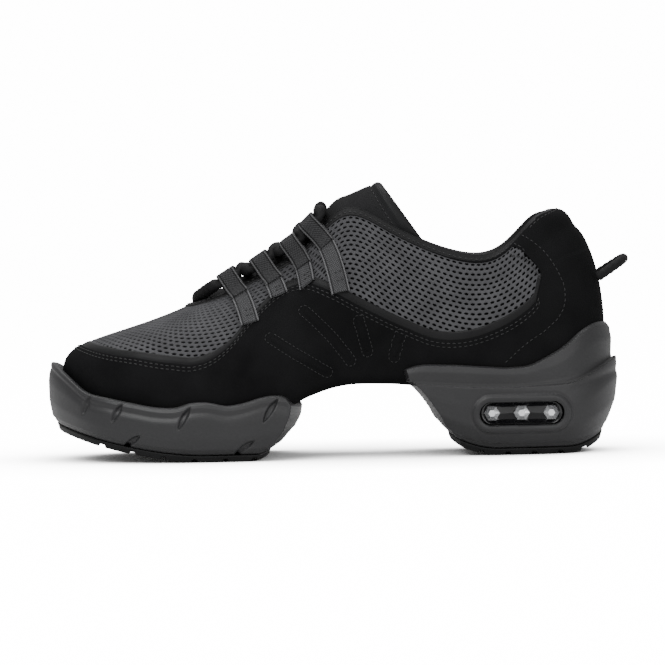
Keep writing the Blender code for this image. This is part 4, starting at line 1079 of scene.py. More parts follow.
def build_mesh(name, first, last):
    """The tiles between two shares of the way round the foot, as one piece."""
    edge, hole = tile_rings()
    rows = np.arange(1, 46)
    s0 = np.arange(0, CHART_S[-1], HOLE_PITCH)
    s = s0[None, :] + np.where(rows % 2 == 1, HOLE_PITCH / 2, 0.0)[:, None]
    t = np.broadcast_to(rows[:, None] * ROW_PITCH, s.shape)
    s, t = s.ravel(), t.ravel()
    u, h = from_chart(s, t)
    low = np.interp(u, PANEL_U, PANEL_LOW)
    high = np.interp(u, PANEL_U, PANEL_HIGH)
    reach = 1.4 * MM * np.interp(u, SHELL_U[:SHELL_STEPS], LOW_RATE[:SHELL_STEPS])
    inside = (h > low - reach) & (h < high + reach) & (t < 105 * MM) & (h < 0.995)
    inside &= (s >= first * CHART_S[-1]) & (s < last * CHART_S[-1])
    inside &= (u > NOSE + 0.02) & (u < STATION_COUNT - NOSE - 0.02)
    s, t = s[inside][:, None], t[inside][:, None]
    rings = []
    for ring, grow, offset in (
        (edge, 1.0, MESH_TOP - 0.06 * MM),
        (hole, 1.2, MESH_TOP + 0.12 * MM),
        (hole, 1.0, MESH_TOP - 0.12 * MM),
        (hole, 0.94, MESH_TOP - HOLE_DEPTH),
    ):
        down = np.clip(t - ring[None, :, 1] * grow, 0, None)
        ru, rh = from_chart(s + ring[None, :, 0] * grow, down)
        rings.append(cloth(ru, np.clip(rh, 0, 1), offset))
    corners = np.stack(rings, axis=1)
    count = len(s)
    one = grid_quads(4, 12, wrap=True)
    quads = (one[None] + np.arange(count)[:, None, None] * 48).reshape(-1, 4)
    piece = new_piece(name, corners.reshape(-1, 3), quads[:, ::-1], [YARN])
    print(count, "holes")
    return dress(piece, "suede")


def build_backing():
    """The cloth behind the holes."""
    share = np.linspace(-0.03, 1.03, 14)[:, None]
    h = PANEL_LOW + (PANEL_HIGH - PANEL_LOW) * share
    u = np.broadcast_to(PANEL_U, h.shape)
    grid = cloth(u, np.clip(h, 0, 1), MESH_TOP - HOLE_DEPTH + 0.02 * MM)
    return dress(grid_piece("mesh_backing", grid, BACKING), "suede")


def build_piping():
    """The smooth dark tape between the suede's edge and the mesh."""
    room = (PANEL_HIGH - PANEL_LOW) / LOW_RATE[:SHELL_STEPS]
    width = np.minimum(PIPING_WIDTH, room * 0.35)
    across, off = np.array(PIPING_PROFILE).T[:, :, None]
    h = PANEL_LOW + width * LOW_RATE[:SHELL_STEPS] * across
    u = np.broadcast_to(PANEL_U, h.shape)
    grid = cloth(u, np.clip(h, 0, 1), np.broadcast_to(off * MM, h.shape))
    return dress(grid_piece("mesh_piping", grid, TRIM), "suede")


build_mesh("mesh_outer", 0.0, 0.37)
build_mesh("mesh_vamp", 0.37, 0.63)
build_mesh("mesh_inner", 0.63, 1.0)
build_backing()
build_piping()

# %% [markdown]
# ## Stitches
#
# Threads lie in rows beside each edge. Every stitch is a short round bar that dips into the cloth at
# both ends, and all of them are one piece.

# %% Stitches
STITCH_PITCH = 2.5 * MM
STITCH_LENGTH = 1.75 * MM
STITCH_RADIUS = 0.24 * MM
stitch_corners, stitch_quads = [], []


def stitch_row(path, normal, radius=STITCH_RADIUS, pitch=STITCH_PITCH, length=STITCH_LENGTH):
    """Adds stitches along a path of points, whose normals point out of the cloth."""
    far = lengths_along(path[None], 1)[0]
    count = int(far[-1] / pitch)
    if count < 1:
        return
    middle = (np.arange(count) + 0.5) * pitch
    shares = np.array([-0.5, -0.42, -0.2, 0.2, 0.42, 0.5])
    lift = np.array([-1.1, -0.1, 0.55, 0.55, -0.1, -1.1]) * radius
    size = np.array([0.3, 0.85, 1.0, 1.0, 0.85, 0.3]) * radius
    at = middle[:, None] + shares * length
    place = np.stack([np.interp(at, far, path[:, k]) for k in range(3)], axis=-1)
    out = np.stack([np.interp(at, far, normal[:, k]) for k in range(3)], axis=-1)
    out /= np.linalg.norm(out, axis=-1, keepdims=True)
    run = place[:, -1:] - place[:, :1]
    run = run / np.linalg.norm(run, axis=-1, keepdims=True)
    side = np.cross(out, run)
    turn = np.linspace(0, 2 * np.pi, 7)[:-1, None]
    ring = (out[:, :, None] * np.cos(turn) + side[:, :, None] * np.sin(turn)) * size[:, None, None]
    corners = (place + out * lift[None, :, None])[:, :, None] + ring
    one = grid_quads(6, 6, wrap=True)
    first = sum(len(c) for c in stitch_corners)
    quads = (one[None] + np.arange(count)[:, None, None] * 36).reshape(-1, 4) + first
    stitch_corners.append(corners.reshape(-1, 3))
    stitch_quads.append(quads)


def stitch_on_cloth(u, h, offset=0.0, **sizes):
    place = cloth(u, h, offset)
    stitch_row(place, cloth(u, h, offset + 1.0) - place, **sizes)


def side_curve(rows, side, count=160):
    """(u, h) along a smooth line of (along, rise) rows drawn on one side of the foot."""
    fine = spline_rows(np.array(rows), count)
    found = [place_of(a, r, side) for a, r in fine]
    return [np.convolve(np.pad(v, 3, mode="edge"), np.ones(7) / 7, mode="valid") for v in zip(*found)]


middle = slice(6, SHELL_STEPS - 6)
for inset in (1.9 * MM, 3.6 * MM):
    stitch_on_cloth(PANEL_U[middle], (PANEL_LOW - inset * LOW_RATE[:SHELL_STEPS])[middle])
above = PANEL_HIGH + 1.9 * MM * HIGH_RATE[:SHELL_STEPS]
stitch_on_cloth(PANEL_U[middle], np.clip(above, 0, 0.99)[middle])
stitch_on_cloth(HEEL_U, height_below_top(HEEL_U, 4.0 * MM))

# %% [markdown]
# ## Heel counter and side stitching
#
# A double line of stitches outlines the heel counter, and four long fingers are sewn into the suede
# over the arch. The fingers are a plain fan of channels.

# %% Heel counter and side stitching
COUNTER_LINE = (
    (0.147, 0.845), (0.116, 0.790), (0.092, 0.705), (0.073, 0.600), (0.068, 0.500),
    (0.078, 0.415), (0.108, 0.330), (0.143, 0.262), (0.190, 0.140),
)
COUNTER_TOP = ((0.168, 0.735), (0.140, 0.725), (0.122, 0.660), (0.112, 0.590))
FINGERS = (
    ((0.612, 0.330), (0.560, 0.230), (0.505, 0.130)),
    ((0.548, 0.470), (0.500, 0.330), (0.462, 0.185)),
    ((0.448, 0.410), (0.440, 0.330), (0.432, 0.235)),
    ((0.372, 0.330), (0.378, 0.270), (0.384, 0.205)),
)
FINGER_HALF = 2.5 * MM
for side in (-1, 1):
    stitch_on_cloth(*side_curve(COUNTER_LINE, side))
    stitch_on_cloth(*side_curve(COUNTER_TOP, side, 60))


def finger_outline(line, side):
    """Points and normals round one sewn finger: two straight sides and two round ends."""
    u, h = side_curve(line, side, 40)
    centre = cloth(u, h)
    normal = cloth(u, h, 1.0) - centre
    run = np.gradient(centre, axis=0)
    run /= np.linalg.norm(run, axis=1, keepdims=True)
    across = np.cross(normal, run)
    turn = np.linspace(0, np.pi, 12)[1:-1, None]
    tip = centre[-1] + FINGER_HALF * (np.cos(turn) * across[-1] + np.sin(turn) * run[-1])
    tail = centre[0] + FINGER_HALF * (-np.cos(turn) * across[0] - np.sin(turn) * run[0])
    loop = np.concatenate([centre + across * FINGER_HALF, tip, (centre - across * FINGER_HALF)[::-1], tail])
    loop = np.concatenate([loop, loop[:1]])
    at_tip, at_tail = (np.repeat(normal[[k]], len(turn), axis=0) for k in (-1, 0))
    normals = np.concatenate([normal, at_tip, normal[::-1], at_tail])
    return loop, np.concatenate([normals, normals[:1]]), centre, normal, across


def build_finger(name, line, side):
    """A low padded channel inside one finger's stitches."""
    loop, normals, centre, normal, across = finger_outline(line, side)
    stitch_row(loop + normals * 0.05 * MM, normals, pitch=2.0 * MM, length=1.4 * MM, radius=0.2 * MM)
    shares = np.linspace(-0.8, 0.8, 9)
    lift = 0.55 * MM * (1 - (shares / 0.8) ** 2) - 0.08 * MM
    ends = np.sin(np.linspace(0, np.pi, len(centre))) ** 0.35
    grid = centre[:, None] + across[:, None] * (shares[None, :, None] * ends[:, None, None] * FINGER_HALF)
    grid = grid + normal[:, None] * (lift[None, :, None] * ends[:, None, None])
    return dress(grid_piece(name, grid, SUEDE), "suede")


for side, word in ((-1, "outer"), (1, "inner")):
    for k, line in enumerate(FINGERS):
        build_finger(f"finger_{word}_{k + 1}", line, side)

# %% [markdown]
# ## Sole units
#
# Each unit is a stack of closed rings that follow the foot. The rings' heights and how far they
# stand out come from the wall tables, read smoothly, and the grooves are pressed into them.

# %% Rings of a sole unit
SIDE_POINTS = 300
END_POINTS = 61


def fine_ring(flare, extra, end_x, back_side, step=0.0):
    """A closed ring round one unit: from the middle of its arch end along the outer side, round the
    toe or heel, and back along the inner side."""
    fine = np.linspace(0, TOE, 900) if back_side else np.linspace(TOE, 0, 900)
    fade = np.linspace(0, 1, 900)
    sides = []
    for mirror in (False, True):
        u = (STATION_COUNT - fine) % STATION_COUNT if mirror else fine
        foot = point(u, 0.12)
        run = point(u + 0.02, 0.12) - point(u - 0.02, 0.12)
        out = np.column_stack([-run[:, 1], run[:, 0], np.zeros(len(u))])
        out /= np.linalg.norm(out, axis=1, keepdims=True)
        at_tip = np.clip((x_to_along(foot[:, 0]) - 0.86) / 0.12, 0, 1) * TOE_BUMPER
        away = flare + extra + at_tip - step * (np.clip(1.6 - 2.6 * fade, 0, 1) - 0.5)
        place = foot + out * away[:, None]
        place[:, 2] = 0
        keep = place[:, 0] > end_x if back_side else place[:, 0] < end_x
        sides.append(place[keep])
    outer, inner = (resample(s, SIDE_POINTS + 1) for s in sides)
    outer[0] = (outer[0] + inner[0]) / 2
    across = np.linspace(0, 1, END_POINTS + 2)[1:-1, None]
    end = outer[-1] + (inner[-1] - outer[-1]) * across
    end[:, 0] += END_BULGE * np.sin(across[:, 0] * np.pi) * (-1 if back_side else 1)
    half = END_POINTS // 2
    return np.array([*end[half::-1], *outer[::-1], *inner[1:], *end[:half:-1]])


def wall_rings(table, heights):
    """The wall table's columns read smoothly at these heights."""
    wall = columns(table, WALL_COLUMNS)
    return [np.interp(heights, wall["height"], wall[name]) for name in ("out", "end")]


def softened(values, passes=6):
    """Rounds the corners off a row of numbers, ends kept."""
    values = values.copy()
    for _ in range(passes):
        values[1:-1] = (values[:-2] + 2 * values[1:-1] + values[2:]) / 4
    return values


def pressed_in(grid, amount):
    """The ring grid moved in by amount, along its own normals, which point outwards."""
    closed = np.concatenate([grid[:, -1:], grid, grid[:, :1]], axis=1)
    along = (closed[:, 2:] - closed[:, :-2]) / 2
    up = np.gradient(grid, axis=0)
    normal = np.cross(along, up)
    normal /= np.linalg.norm(normal, axis=-1, keepdims=True) + 1e-12
    middle = grid.mean(axis=(0, 1))
    if ((grid - middle) * normal)[..., :2].sum() < 0:
        normal = -normal
    return grid - normal * amount[..., None]


def slash_depth(grid):
    """Depth of the blade-shaped slashes at each point of the forefoot unit."""
    slashes = columns(SLASHES, SLASH_COLUMNS)
    total = np.zeros(grid.shape[:2])
    for k in range(len(SLASHES)):
        dx = grid[..., 0] - along_to_x(slashes["along"][k])
        dz = grid[..., 2] - HEEL_SEAT * slashes["height"][k]
        lean = np.radians(slashes["lean"][k])
        s = (dx * np.cos(lean) + dz * np.sin(lean)) / slashes["length"][k]
        v = -dx * np.sin(lean) + dz * np.cos(lean) - 1.2 * MM * (s + 0.5) * (0.5 - s)
        half = 1.7 * MM * np.clip((s + 0.5) * (0.62 - s) * 3.2, 0, None) ** 0.7
        edge = np.clip((half - np.abs(v)) / (0.9 * MM), 0, 1)
        total = np.maximum(total, SLASH_DEPTH * 1.15 * edge * edge * (3 - 2 * edge))
    return total


def line_depth(distance, width, depth):
    """A round-bottomed line: depth at distance 0, nothing past width."""
    return depth * np.clip(1 - (distance / width) ** 2, 0, 1)


# %% [markdown]
# ## Forefoot unit
#
# It climbs from a thin rear end to a tall toe bumper, with a wavy upper edge and leaning slashes.

# %% Forefoot unit


def unit_grid(table, heights, flare, end_x, back_side, low_of, top_of, step=0.0):
    out, end = wall_rings(table, heights)
    out, end = softened(out), softened(end)
    rings = []
    sign = 1 if back_side else -1
    for height, o, e in zip(heights, out, end):
        ring = fine_ring(flare, o, end_x + sign * e, back_side, step)
        low, top = low_of(ring[:, 0]), top_of(ring[:, 0])
        ring[:, 2] = low + (top - low) * height
        rings.append(ring)
    return np.array(rings)


def turned_in(ring, inward, down):
    """A ring moved towards the foot and down, to close a unit's upper edge."""
    closed = np.concatenate([ring[-1:], ring, ring[:1]])
    run = closed[2:] - closed[:-2]
    side = np.column_stack([-run[:, 1], run[:, 0], np.zeros(len(ring))])
    side /= np.linalg.norm(side, axis=1, keepdims=True) + 1e-12
    middle = ring.mean(axis=0)
    if ((ring - middle) * side)[:, :2].sum() > 0:
        side = -side
    return ring + side * inward - np.array([0, 0, down])


def midsole_low(x):
    return sole_bottom(x) + OUTSOLE + GAP


def foot_line(grid):
    """Depth of the thin line that runs round a unit just above its outsole."""
    return line_depth(np.abs(grid[..., 2] - midsole_low(grid[..., 0]) - 1.6 * MM), 0.5 * MM, 0.3 * MM)


def build_forefoot():
    heights = np.concatenate([np.linspace(0, 0.9, 58), np.linspace(0.905, 1.0, 12)])
    grid = unit_grid(
        FOREFOOT_WALL, heights, FOREFOOT_FLARE, FOREFOOT_END_X, False,
        midsole_low, lambda x: edge_height(x, FOREFOOT_EDGE),
    )
    in_side = np.clip((FOREFOOT_END_X - 1 * MM - grid[..., 0]) / (2 * MM), 0, 1)
    depth = slash_depth(grid) * in_side
    depth += foot_line(grid)
    shoulder = edge_height(grid[..., 0], FOREFOOT_EDGE) - grid[..., 2] - 4.4 * MM
    depth += 0.55 * MM * np.exp(-((shoulder / (1.5 * MM)) ** 2)) * in_side
    grid = pressed_in(grid, depth)
    rows = [*grid, *folded_in(grid[-1])]
    return finish_unit("forefoot_unit", rows, "midsole", "forefoot_midsole", cover_top=False)


def finish_unit(name, rows, slot_name, node, cover_top=True):
    """Closes a stack of rings below, and above if asked, with faces laid straight across."""
    grid = np.array(rows)
    n, m = grid.shape[:2]
    across = cap_quads(m)
    quads = [grid_quads(n, m, wrap=True), across[:, ::-1]]
    if cover_top:
        quads.append(across + (n - 1) * m)
    piece = new_piece(name, grid.reshape(-1, 3), np.concatenate(quads), [MIDSOLE], uv=grid_uv(grid))
    return dress(piece, slot_name, node)


def folded_in(ring):
    """Rings that roll a unit's upper edge over and in towards the foot."""
    return [turned_in(ring, inward * MM, down * MM) for inward, down in ((0.9, 0.15), (2.0, 1.4), (3.2, 4.0))]


build_forefoot()

# %% [markdown]
# ## Heel unit
#
# The lower lobe bulges round the window and ends in a shelf; the upper lobe climbs the back of the
# shoe. The window is cut right through, with a low frame round it.

# %% Heel unit
FRAME_WIDTH = 2.6 * MM
FRAME_RISE = 0.8 * MM
CUT_REACH = 60 * MM


def stadium_distance(grid, length, height):
    """Distance outside a bar with round ends, seen from the side."""
    radius = height / 2
    dx = np.clip(np.abs(grid[..., 0] - WINDOW_X) - (length / 2 - radius), 0, None)
    dz = grid[..., 2] - WINDOW_Z
    return np.sqrt(dx * dx + dz * dz) - radius


def heel_shelf(x):
    return edge_height(x, HEEL_SHELF)


def heel_top(x):
    return np.maximum(edge_height(x, HEEL_EDGE), heel_shelf(x) + 2 * MM)


def build_heel():
    share = np.linspace(0, 1, 62)
    lobe = unit_grid(
        HEEL_WALL, share * HEEL_WALL[-1][0], HEEL_FLARE, HEEL_END_X, True, midsole_low,
        lambda x: midsole_low(x) + (heel_shelf(x) - midsole_low(x)) / HEEL_WALL[-1][0],
    )
    collar_share = np.concatenate([np.linspace(0.0, 0.9, 34), np.linspace(0.91, 1.0, 10)])
    table = ((0.0, 0.9 * MM, 2.6 * MM), *HEEL_COLLAR)
    collar = unit_grid(table, collar_share, HEEL_FLARE, HEEL_END_X, True, heel_shelf, heel_top, SHELF_STEP)
    grid = np.concatenate([lobe, collar])
    flat = np.abs(grid[..., 1]) > 14 * MM
    away = stadium_distance(grid, WINDOW_LENGTH, WINDOW_HEIGHT)
    frame_share = np.clip(1 - np.abs(away - FRAME_WIDTH * 0.62) / (FRAME_WIDTH * 0.55), 0, 1)
    depth = -FRAME_RISE * np.sqrt(frame_share) * flat
    depth += line_depth(np.abs(away - FRAME_WIDTH * 1.45), 0.55 * MM, 0.35 * MM) * flat
    depth += foot_line(grid)
    row = np.arange(len(grid))[:, None]
    depth += 0.9 * MM * np.exp(-(((row - len(lobe)) / 1.6) ** 2))
    behind = np.clip((grid[..., 0] - 26 * MM) / (8 * MM), 0, 1)
    wave = grid[..., 2] - (HEEL_SEAT * 1.05 + (grid[..., 0] - 26 * MM) * 0.32)
    depth += 0.5 * MM * np.exp(-((wave / (2.0 * MM)) ** 2)) * behind
    grid = pressed_in(grid, depth)
    band = np.array([*grid[len(lobe) - 1 :], *folded_in(grid[-1])])
    dress(grid_piece("heel_collar", band, MIDSOLE, wrap=True), "midsole")
    return finish_unit("heel_unit", grid[: len(lobe)], "midsole", "heel_midsole")


def stadium(length, height):
    """The outline of a bar with round ends, about its middle."""
    radius = height / 2
    turn = np.radians(np.linspace(-90, 90, 25))
    right = np.column_stack([length / 2 - radius + radius * np.cos(turn), radius * np.sin(turn)])
    return np.concatenate([right, -right])


def across_heel(outline, middle_x, rows):
    """The outline laid across the heel once for each row of (y, width share, height share)."""
    x, z = outline.T
    return np.array(
        [
            np.column_stack([middle_x + x * wide, np.full(len(x), y), WINDOW_Z + z * high])
            for y, wide, high in rows
        ]
    )


def window_cutter():
    """A bar with round ends laid across the heel, as the tool that cuts the window."""
    outline = stadium(WINDOW_LENGTH, WINDOW_HEIGHT)
    grid = across_heel(outline, WINDOW_X, ((CUT_REACH, 1, 1), (-CUT_REACH, 1, 1)))
    m = len(outline)
    cap = cap_quads(m)
    quads = np.concatenate([grid_quads(2, m, wrap=True)[:, ::-1], cap, cap[:, ::-1] + m])
    return new_piece("window_tool", grid.reshape(-1, 3), quads, [MIDSOLE])


def cut_window(piece):
    tool = window_cutter()
    modifier = piece.modifiers.new("window", "BOOLEAN")
    modifier.object = tool
    modifier.operation = "DIFFERENCE"
    modifier.solver = "EXACT"
    graph = bpy.context.evaluated_depsgraph_get()
    cut = bpy.data.meshes.new_from_object(piece.evaluated_get(graph))
    piece.modifiers.clear()
    piece.data = cut
    bpy.data.objects.remove(tool)
    print("window cut:", len(cut.polygons), "faces")


heel = build_heel()
cut_window(heel)

# %% [markdown]
# ## Heel cushion
#
# A dark glossy bar fills the window, and three bright six-sided capsules lie across it.

# %% Heel cushion
CUSHION_REACH = 0.339 * BALL_WIDTH
CUSHION_ROWS = (
    (2.4, 0.25, 0.0), (2.2, 0.625, 0.5), (1.2, 0.895, 0.86), (0.0, 0.93, 0.93), (0.0, 0.98, 0.98), (0.4, 1.0, 1.0),
)
CAPSULE_PROUD = 0.6 * MM
CAPSULE_ROWS = ((0.0, 0.0, 0.0), (0.0, 0.42, 0.42), (0.9, 0.93, 0.93), (1.4, 1.0, 1.0))


def mirrored(rows, reach):
    """Rows of (y, width share, height share) from one face of the heel to the other, out of rows
    that count millimetres in from the face."""
    near = [(reach - inset * MM, wide, high) for inset, wide, high in rows]
    return near + [(-y, wide, high) for y, wide, high in reversed(near)]


def build_cushion():
    """The bar in the window, its two faces dished a little between the capsules."""
    outline = stadium(WINDOW_LENGTH - 2 * GAP, WINDOW_HEIGHT - 2 * GAP)
    grid = across_heel(outline, WINDOW_X, mirrored(CUSHION_ROWS, CUSHION_REACH))
    return dress(grid_piece("cushion_bar", grid, CUSHION, wrap=True), "cushion", "heel_cushion")


def build_capsule(k):
    """One capsule: a six-sided bar with sloping shoulders and a small flat end."""
    turn = np.radians(np.arange(0, 360, 60))
    outline = CAPSULE_WIDTH / 2 * np.column_stack([np.cos(turn), np.sin(turn)])
    rows = mirrored(CAPSULE_ROWS, CUSHION_REACH + CAPSULE_PROUD)
    grid = across_heel(outline, WINDOW_X + (k - 1) * CAPSULE_PITCH, rows)
    quads = grid_quads(*grid.shape[:2], wrap=True)
    piece = new_piece(f"capsule_{k + 1}", grid.reshape(-1, 3), quads, [CAPSULE], smooth_faces=False)
    return dress(piece, "capsule", f"cushion_capsule_{k + 1}")


build_cushion()
for k in range(3):
    build_capsule(k)

# %% [markdown]
# ## Outsoles
#
# Thin dark layers under both units, with straight grooves across them and a fine tread between.

# %% Outsoles


def groove_share(x, grooves):
    """How deep each place lies in one of the straight grooves, from 0 to 1."""
    shares = [(TREAD_WIDTH / 2 - np.abs(x - place * MM)) / (0.5 * MM) + 0.5 for place in grooves]
    return np.clip(np.max(shares, axis=0), 0, 1)


def build_outsole(name, node, table, flare, end_x, back_side, grooves):
    out, end = table[0][1], table[0][2]
    sign = 1 if back_side else -1
    rows = []
    for lift, grow, shift in (
        (0.0, -1.2, 2.5), (0.02, -0.8, 2.0), (0.12, -0.35, 1.3), (0.3, -0.08, 0.8),
        (0.45, 0.0, 0.6), (0.7, 0.3, 0.3), (1.0, 0.6, 0.0),
    ):
        stand_out = out - OUTSOLE_INSET + (1.6 + grow) * MM
        ring = fine_ring(flare, stand_out, end_x + sign * (end + shift * MM), back_side)
        ring[:, 2] = sole_bottom(ring[:, 0]) + OUTSOLE * lift
        rows.append(ring)
    grid = np.array(rows)
    n, m = grid.shape[:2]
    i = np.arange(m // 2)
    left, right = grid[0, i], grid[0, m - 1 - i]
    share = np.linspace(0, 1, 25)[None, 1:-1, None]
    across = left[:, None] + (right - left)[:, None] * share
    across[..., 2] = sole_bottom(across[..., 0]) + TREAD_DEPTH * groove_share(across[..., 0], grooves)
    for ring in grid[:4]:
        groove = groove_share(ring[:, 0], grooves)
        cut = np.maximum(ring[:, 2], sole_bottom(ring[:, 0]) + groove * TREAD_DEPTH)
        ring[:, 2] = np.where(groove > 0, cut, ring[:, 2])
    side = grid_quads(n, m, wrap=True)
    inner = n * m + np.arange(across[..., 0].size).reshape(across.shape[:2])
    index = np.column_stack([i, inner, m - 1 - i])
    cap = np.stack([index[:-1, :-1], index[:-1, 1:], index[1:, 1:], index[1:, :-1]], axis=-1).reshape(-1, 4)
    top = cap_quads(m) + (n - 1) * m
    corners = np.concatenate([grid.reshape(-1, 3), across.reshape(-1, 3)])
    piece = new_piece(name, corners, np.concatenate([side, cap, top]), [OUTSOLE_RUBBER])
    return dress(piece, "outsole", node)


build_outsole(
    "forefoot_tread", "forefoot_outsole", FOREFOOT_WALL, FOREFOOT_FLARE, FOREFOOT_END_X, False, FOREFOOT_TREAD
)
build_outsole("heel_tread", "heel_outsole", HEEL_WALL, HEEL_FLARE, HEEL_END_X, True, HEEL_TREAD)

# %% [markdown]
# ## Tongue and insole
#
# The tongue follows the solids' own rows, read finer, with a soft pad between its edges and a bound
# top. The insole keeps its solid.

# %% Tongue and insole
TONGUE_PUFFS = (
    (-133.0, 5.5, 2.5), (-121.0, 6.0, 1.5), (-112.4, 3.5, 1.0), (-104.0, 7.0, 0.6), (-98.5, 3.0, 0.6),
)


def build_tongue():
    """The tongue's pad, which swells between the laces by rows of (x, reach, rise) in millimetres."""
    top = both_ways(tongue_rows(), 110, 64)
    normal = grid_normals(top)
    if normal[40, 32, 2] < 0:
        normal = -normal
    r = np.linspace(0, 1, top.shape[0])[:, None]
    c = np.linspace(-1, 1, top.shape[1])[None, :]
    to_edge = np.minimum((1 - np.abs(c)) / 0.12, (1 - r) / 0.045)
    pad = np.sqrt(np.clip(to_edge, 0, 1))
    seam = np.exp(-(((r - 0.90) / 0.012) ** 2)) * 0.6
    puff = sum(rise * np.exp(-(((top[..., 0] / MM - x) / reach) ** 2)) for x, reach, rise in TONGUE_PUFFS)
    puff = puff * np.cos(c * np.pi / 2) ** 2
    high = top + normal * (((pad - 1) * TONGUE * 0.42 + (puff - seam) * MM)[..., None])
    low = top - normal * (TONGUE * (1 - 0.42 * (1 - pad)))[..., None]
    n, m = top.shape[:2]
    side = rim_quads(n, m)
    faces = grid_quads(n, m)
    corners = np.concatenate([high.reshape(-1, 3), low.reshape(-1, 3)])
    quads = np.concatenate([faces[:, ::-1], faces + n * m, side])
    bound = (np.repeat(np.arange(n - 1), m - 1) > 0.91 * n).astype(int)
    finish = np.concatenate([bound, bound, np.zeros(len(side), int)])
    uv = np.concatenate([grid_uv(top)] * 2)
    piece = new_piece("tongue_pad", corners, quads, [TONGUE_CLOTH, TRIM], finish, uv)
    row = int(0.885 * n)
    stitch_row(high[row, 3:-3] + normal[row, 3:-3] * 0.05 * MM, normal[row, 3:-3])
    dress(piece, "tongue_suede", "tongue")
    return piece


build_tongue()
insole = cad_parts["insole"]
insole.data.materials.clear()
insole.data.materials.append(LINING)

# %% [markdown]
# ## Lace and loops
#
# The lace is a round braid: its surface rises and falls where two sets of strands cross. The loops
# are woven straps that lie on the mesh, turn round the lace and are sewn down.

# %% Lace and loops
BRAID_RISE = 0.16 * MM
BUNCH = 1.0 * MM
BRAID_STEP = 3.2 * MM
THROUGH_LOOP = ((1.7, 2.6), (1.3, 0.2), (0.7, 0), (0, 0), (-0.7, 0), (-1.3, 0.2), (-1.7, 2.6))


def braided(name, path, diameter, sides=24, twist=4, swell=0.0):
    """A round cord along a path, its radius raised by a braid and by swell, its two ends closed."""
    run = np.gradient(path, axis=0)
    run /= np.linalg.norm(run, axis=1, keepdims=True)
    side = np.cross(run[0], [0.0, 0.0, 1.0])
    side /= np.linalg.norm(side)
    frames = []
    for direction in run:
        side = side - direction * np.dot(side, direction)
        side /= np.linalg.norm(side)
        frames.append(side)
    side = np.array(frames)
    up = np.cross(run, side)
    far = lengths_along(path[None], 1)[0]
    turn = np.linspace(0, 2 * np.pi, sides + 1)[:-1]
    phase = 2 * np.pi * far[:, None] / BRAID_STEP
    strands = sum(np.abs(np.sin((twist * turn + way * phase) / 2)) for way in (1, -1))
    radius = diameter / 2 + BRAID_RISE * (strands - 1.2) - 0.05 * MM + np.reshape(swell, (-1, 1))
    to_end = np.minimum(far, far[-1] - far)[:, None] / (diameter / 2)
    radius = radius * np.sqrt(np.clip(to_end * (2 - np.clip(to_end, 0, 1)), 0.02, 1))
    away = side[:, None] * np.cos(turn)[:, None] + up[:, None] * np.sin(turn)[:, None]
    return grid_piece(name, path[:, None] + away * radius[..., None], CORD, wrap=True)


def lace_paths():
    """The two runs of the lace, as in the solids."""
    rows = [dict(zip(LOOP_COLUMNS, row)) for row in LACE_LOOPS]
    paths = []
    for first_side, over in ((-1, 1.0), (1, 0.0)):
        side = first_side
        bar_x = along_to_x(STATIONS[-3][3]) + 1 * MM
        bar_z = ridge(bar_x) + LACE_RISE + 0.6 * MM + over * 0.9 * MM
        route = [
            (bar_x + over * 0.5 * MM, -first_side * 2.3 * MM, bar_z),
            (bar_x + over * 0.2 * MM, first_side * 4 * MM, bar_z),
        ]
        for k, row in enumerate(rows):
            hub, axis, inward = lace_seat(row, side)
            half = STRAP_WIDTH / 2
            for share, turned in THROUGH_LOOP:
                route.append(hub + axis * half * share + inward * turned * MM)
            if k + 1 < len(rows):
                following = lace_seat(rows[k + 1], -side)[0]
                middle = (hub + following) / 2
                lift = LACE_RISE + over * 1.4 * MM
                route.append((middle[0], 0.0, max(ridge(middle[0]) + lift, middle[2])))
                side = -side
        top_x = hub[0] + LACE_TOP_BACK
        route.append((top_x, side * 8 * MM, ridge(top_x) + LACE_RISE))
        top_x += over * 0.8 * MM
        route.append((top_x, -side * 3 * MM, ridge(top_x) + LACE_RISE + over * 1.2 * MM))
        coarse = relax(smooth_route(route, 160), 3)
        paths.append(resample(spline_rows(coarse, 1400), 460))
    return paths


STRAP_TURNED = 0.34
STRAP_ROWS = 88
STRAP_ACROSS = 17


def bunched(path):
    """How far the lace swells between the loops, where nothing squeezes it."""
    seats = [lace_seat(dict(zip(LOOP_COLUMNS, row)), side)[0] for row in LACE_LOOPS for side in (-1, 1)]
    away = np.linalg.norm(path[:, None] - np.array(seats)[None], axis=2).min(axis=1)
    share = np.clip((away - 5.2 * MM) / (3.2 * MM), 0, 1)
    return BUNCH * share * share * (3 - 2 * share)


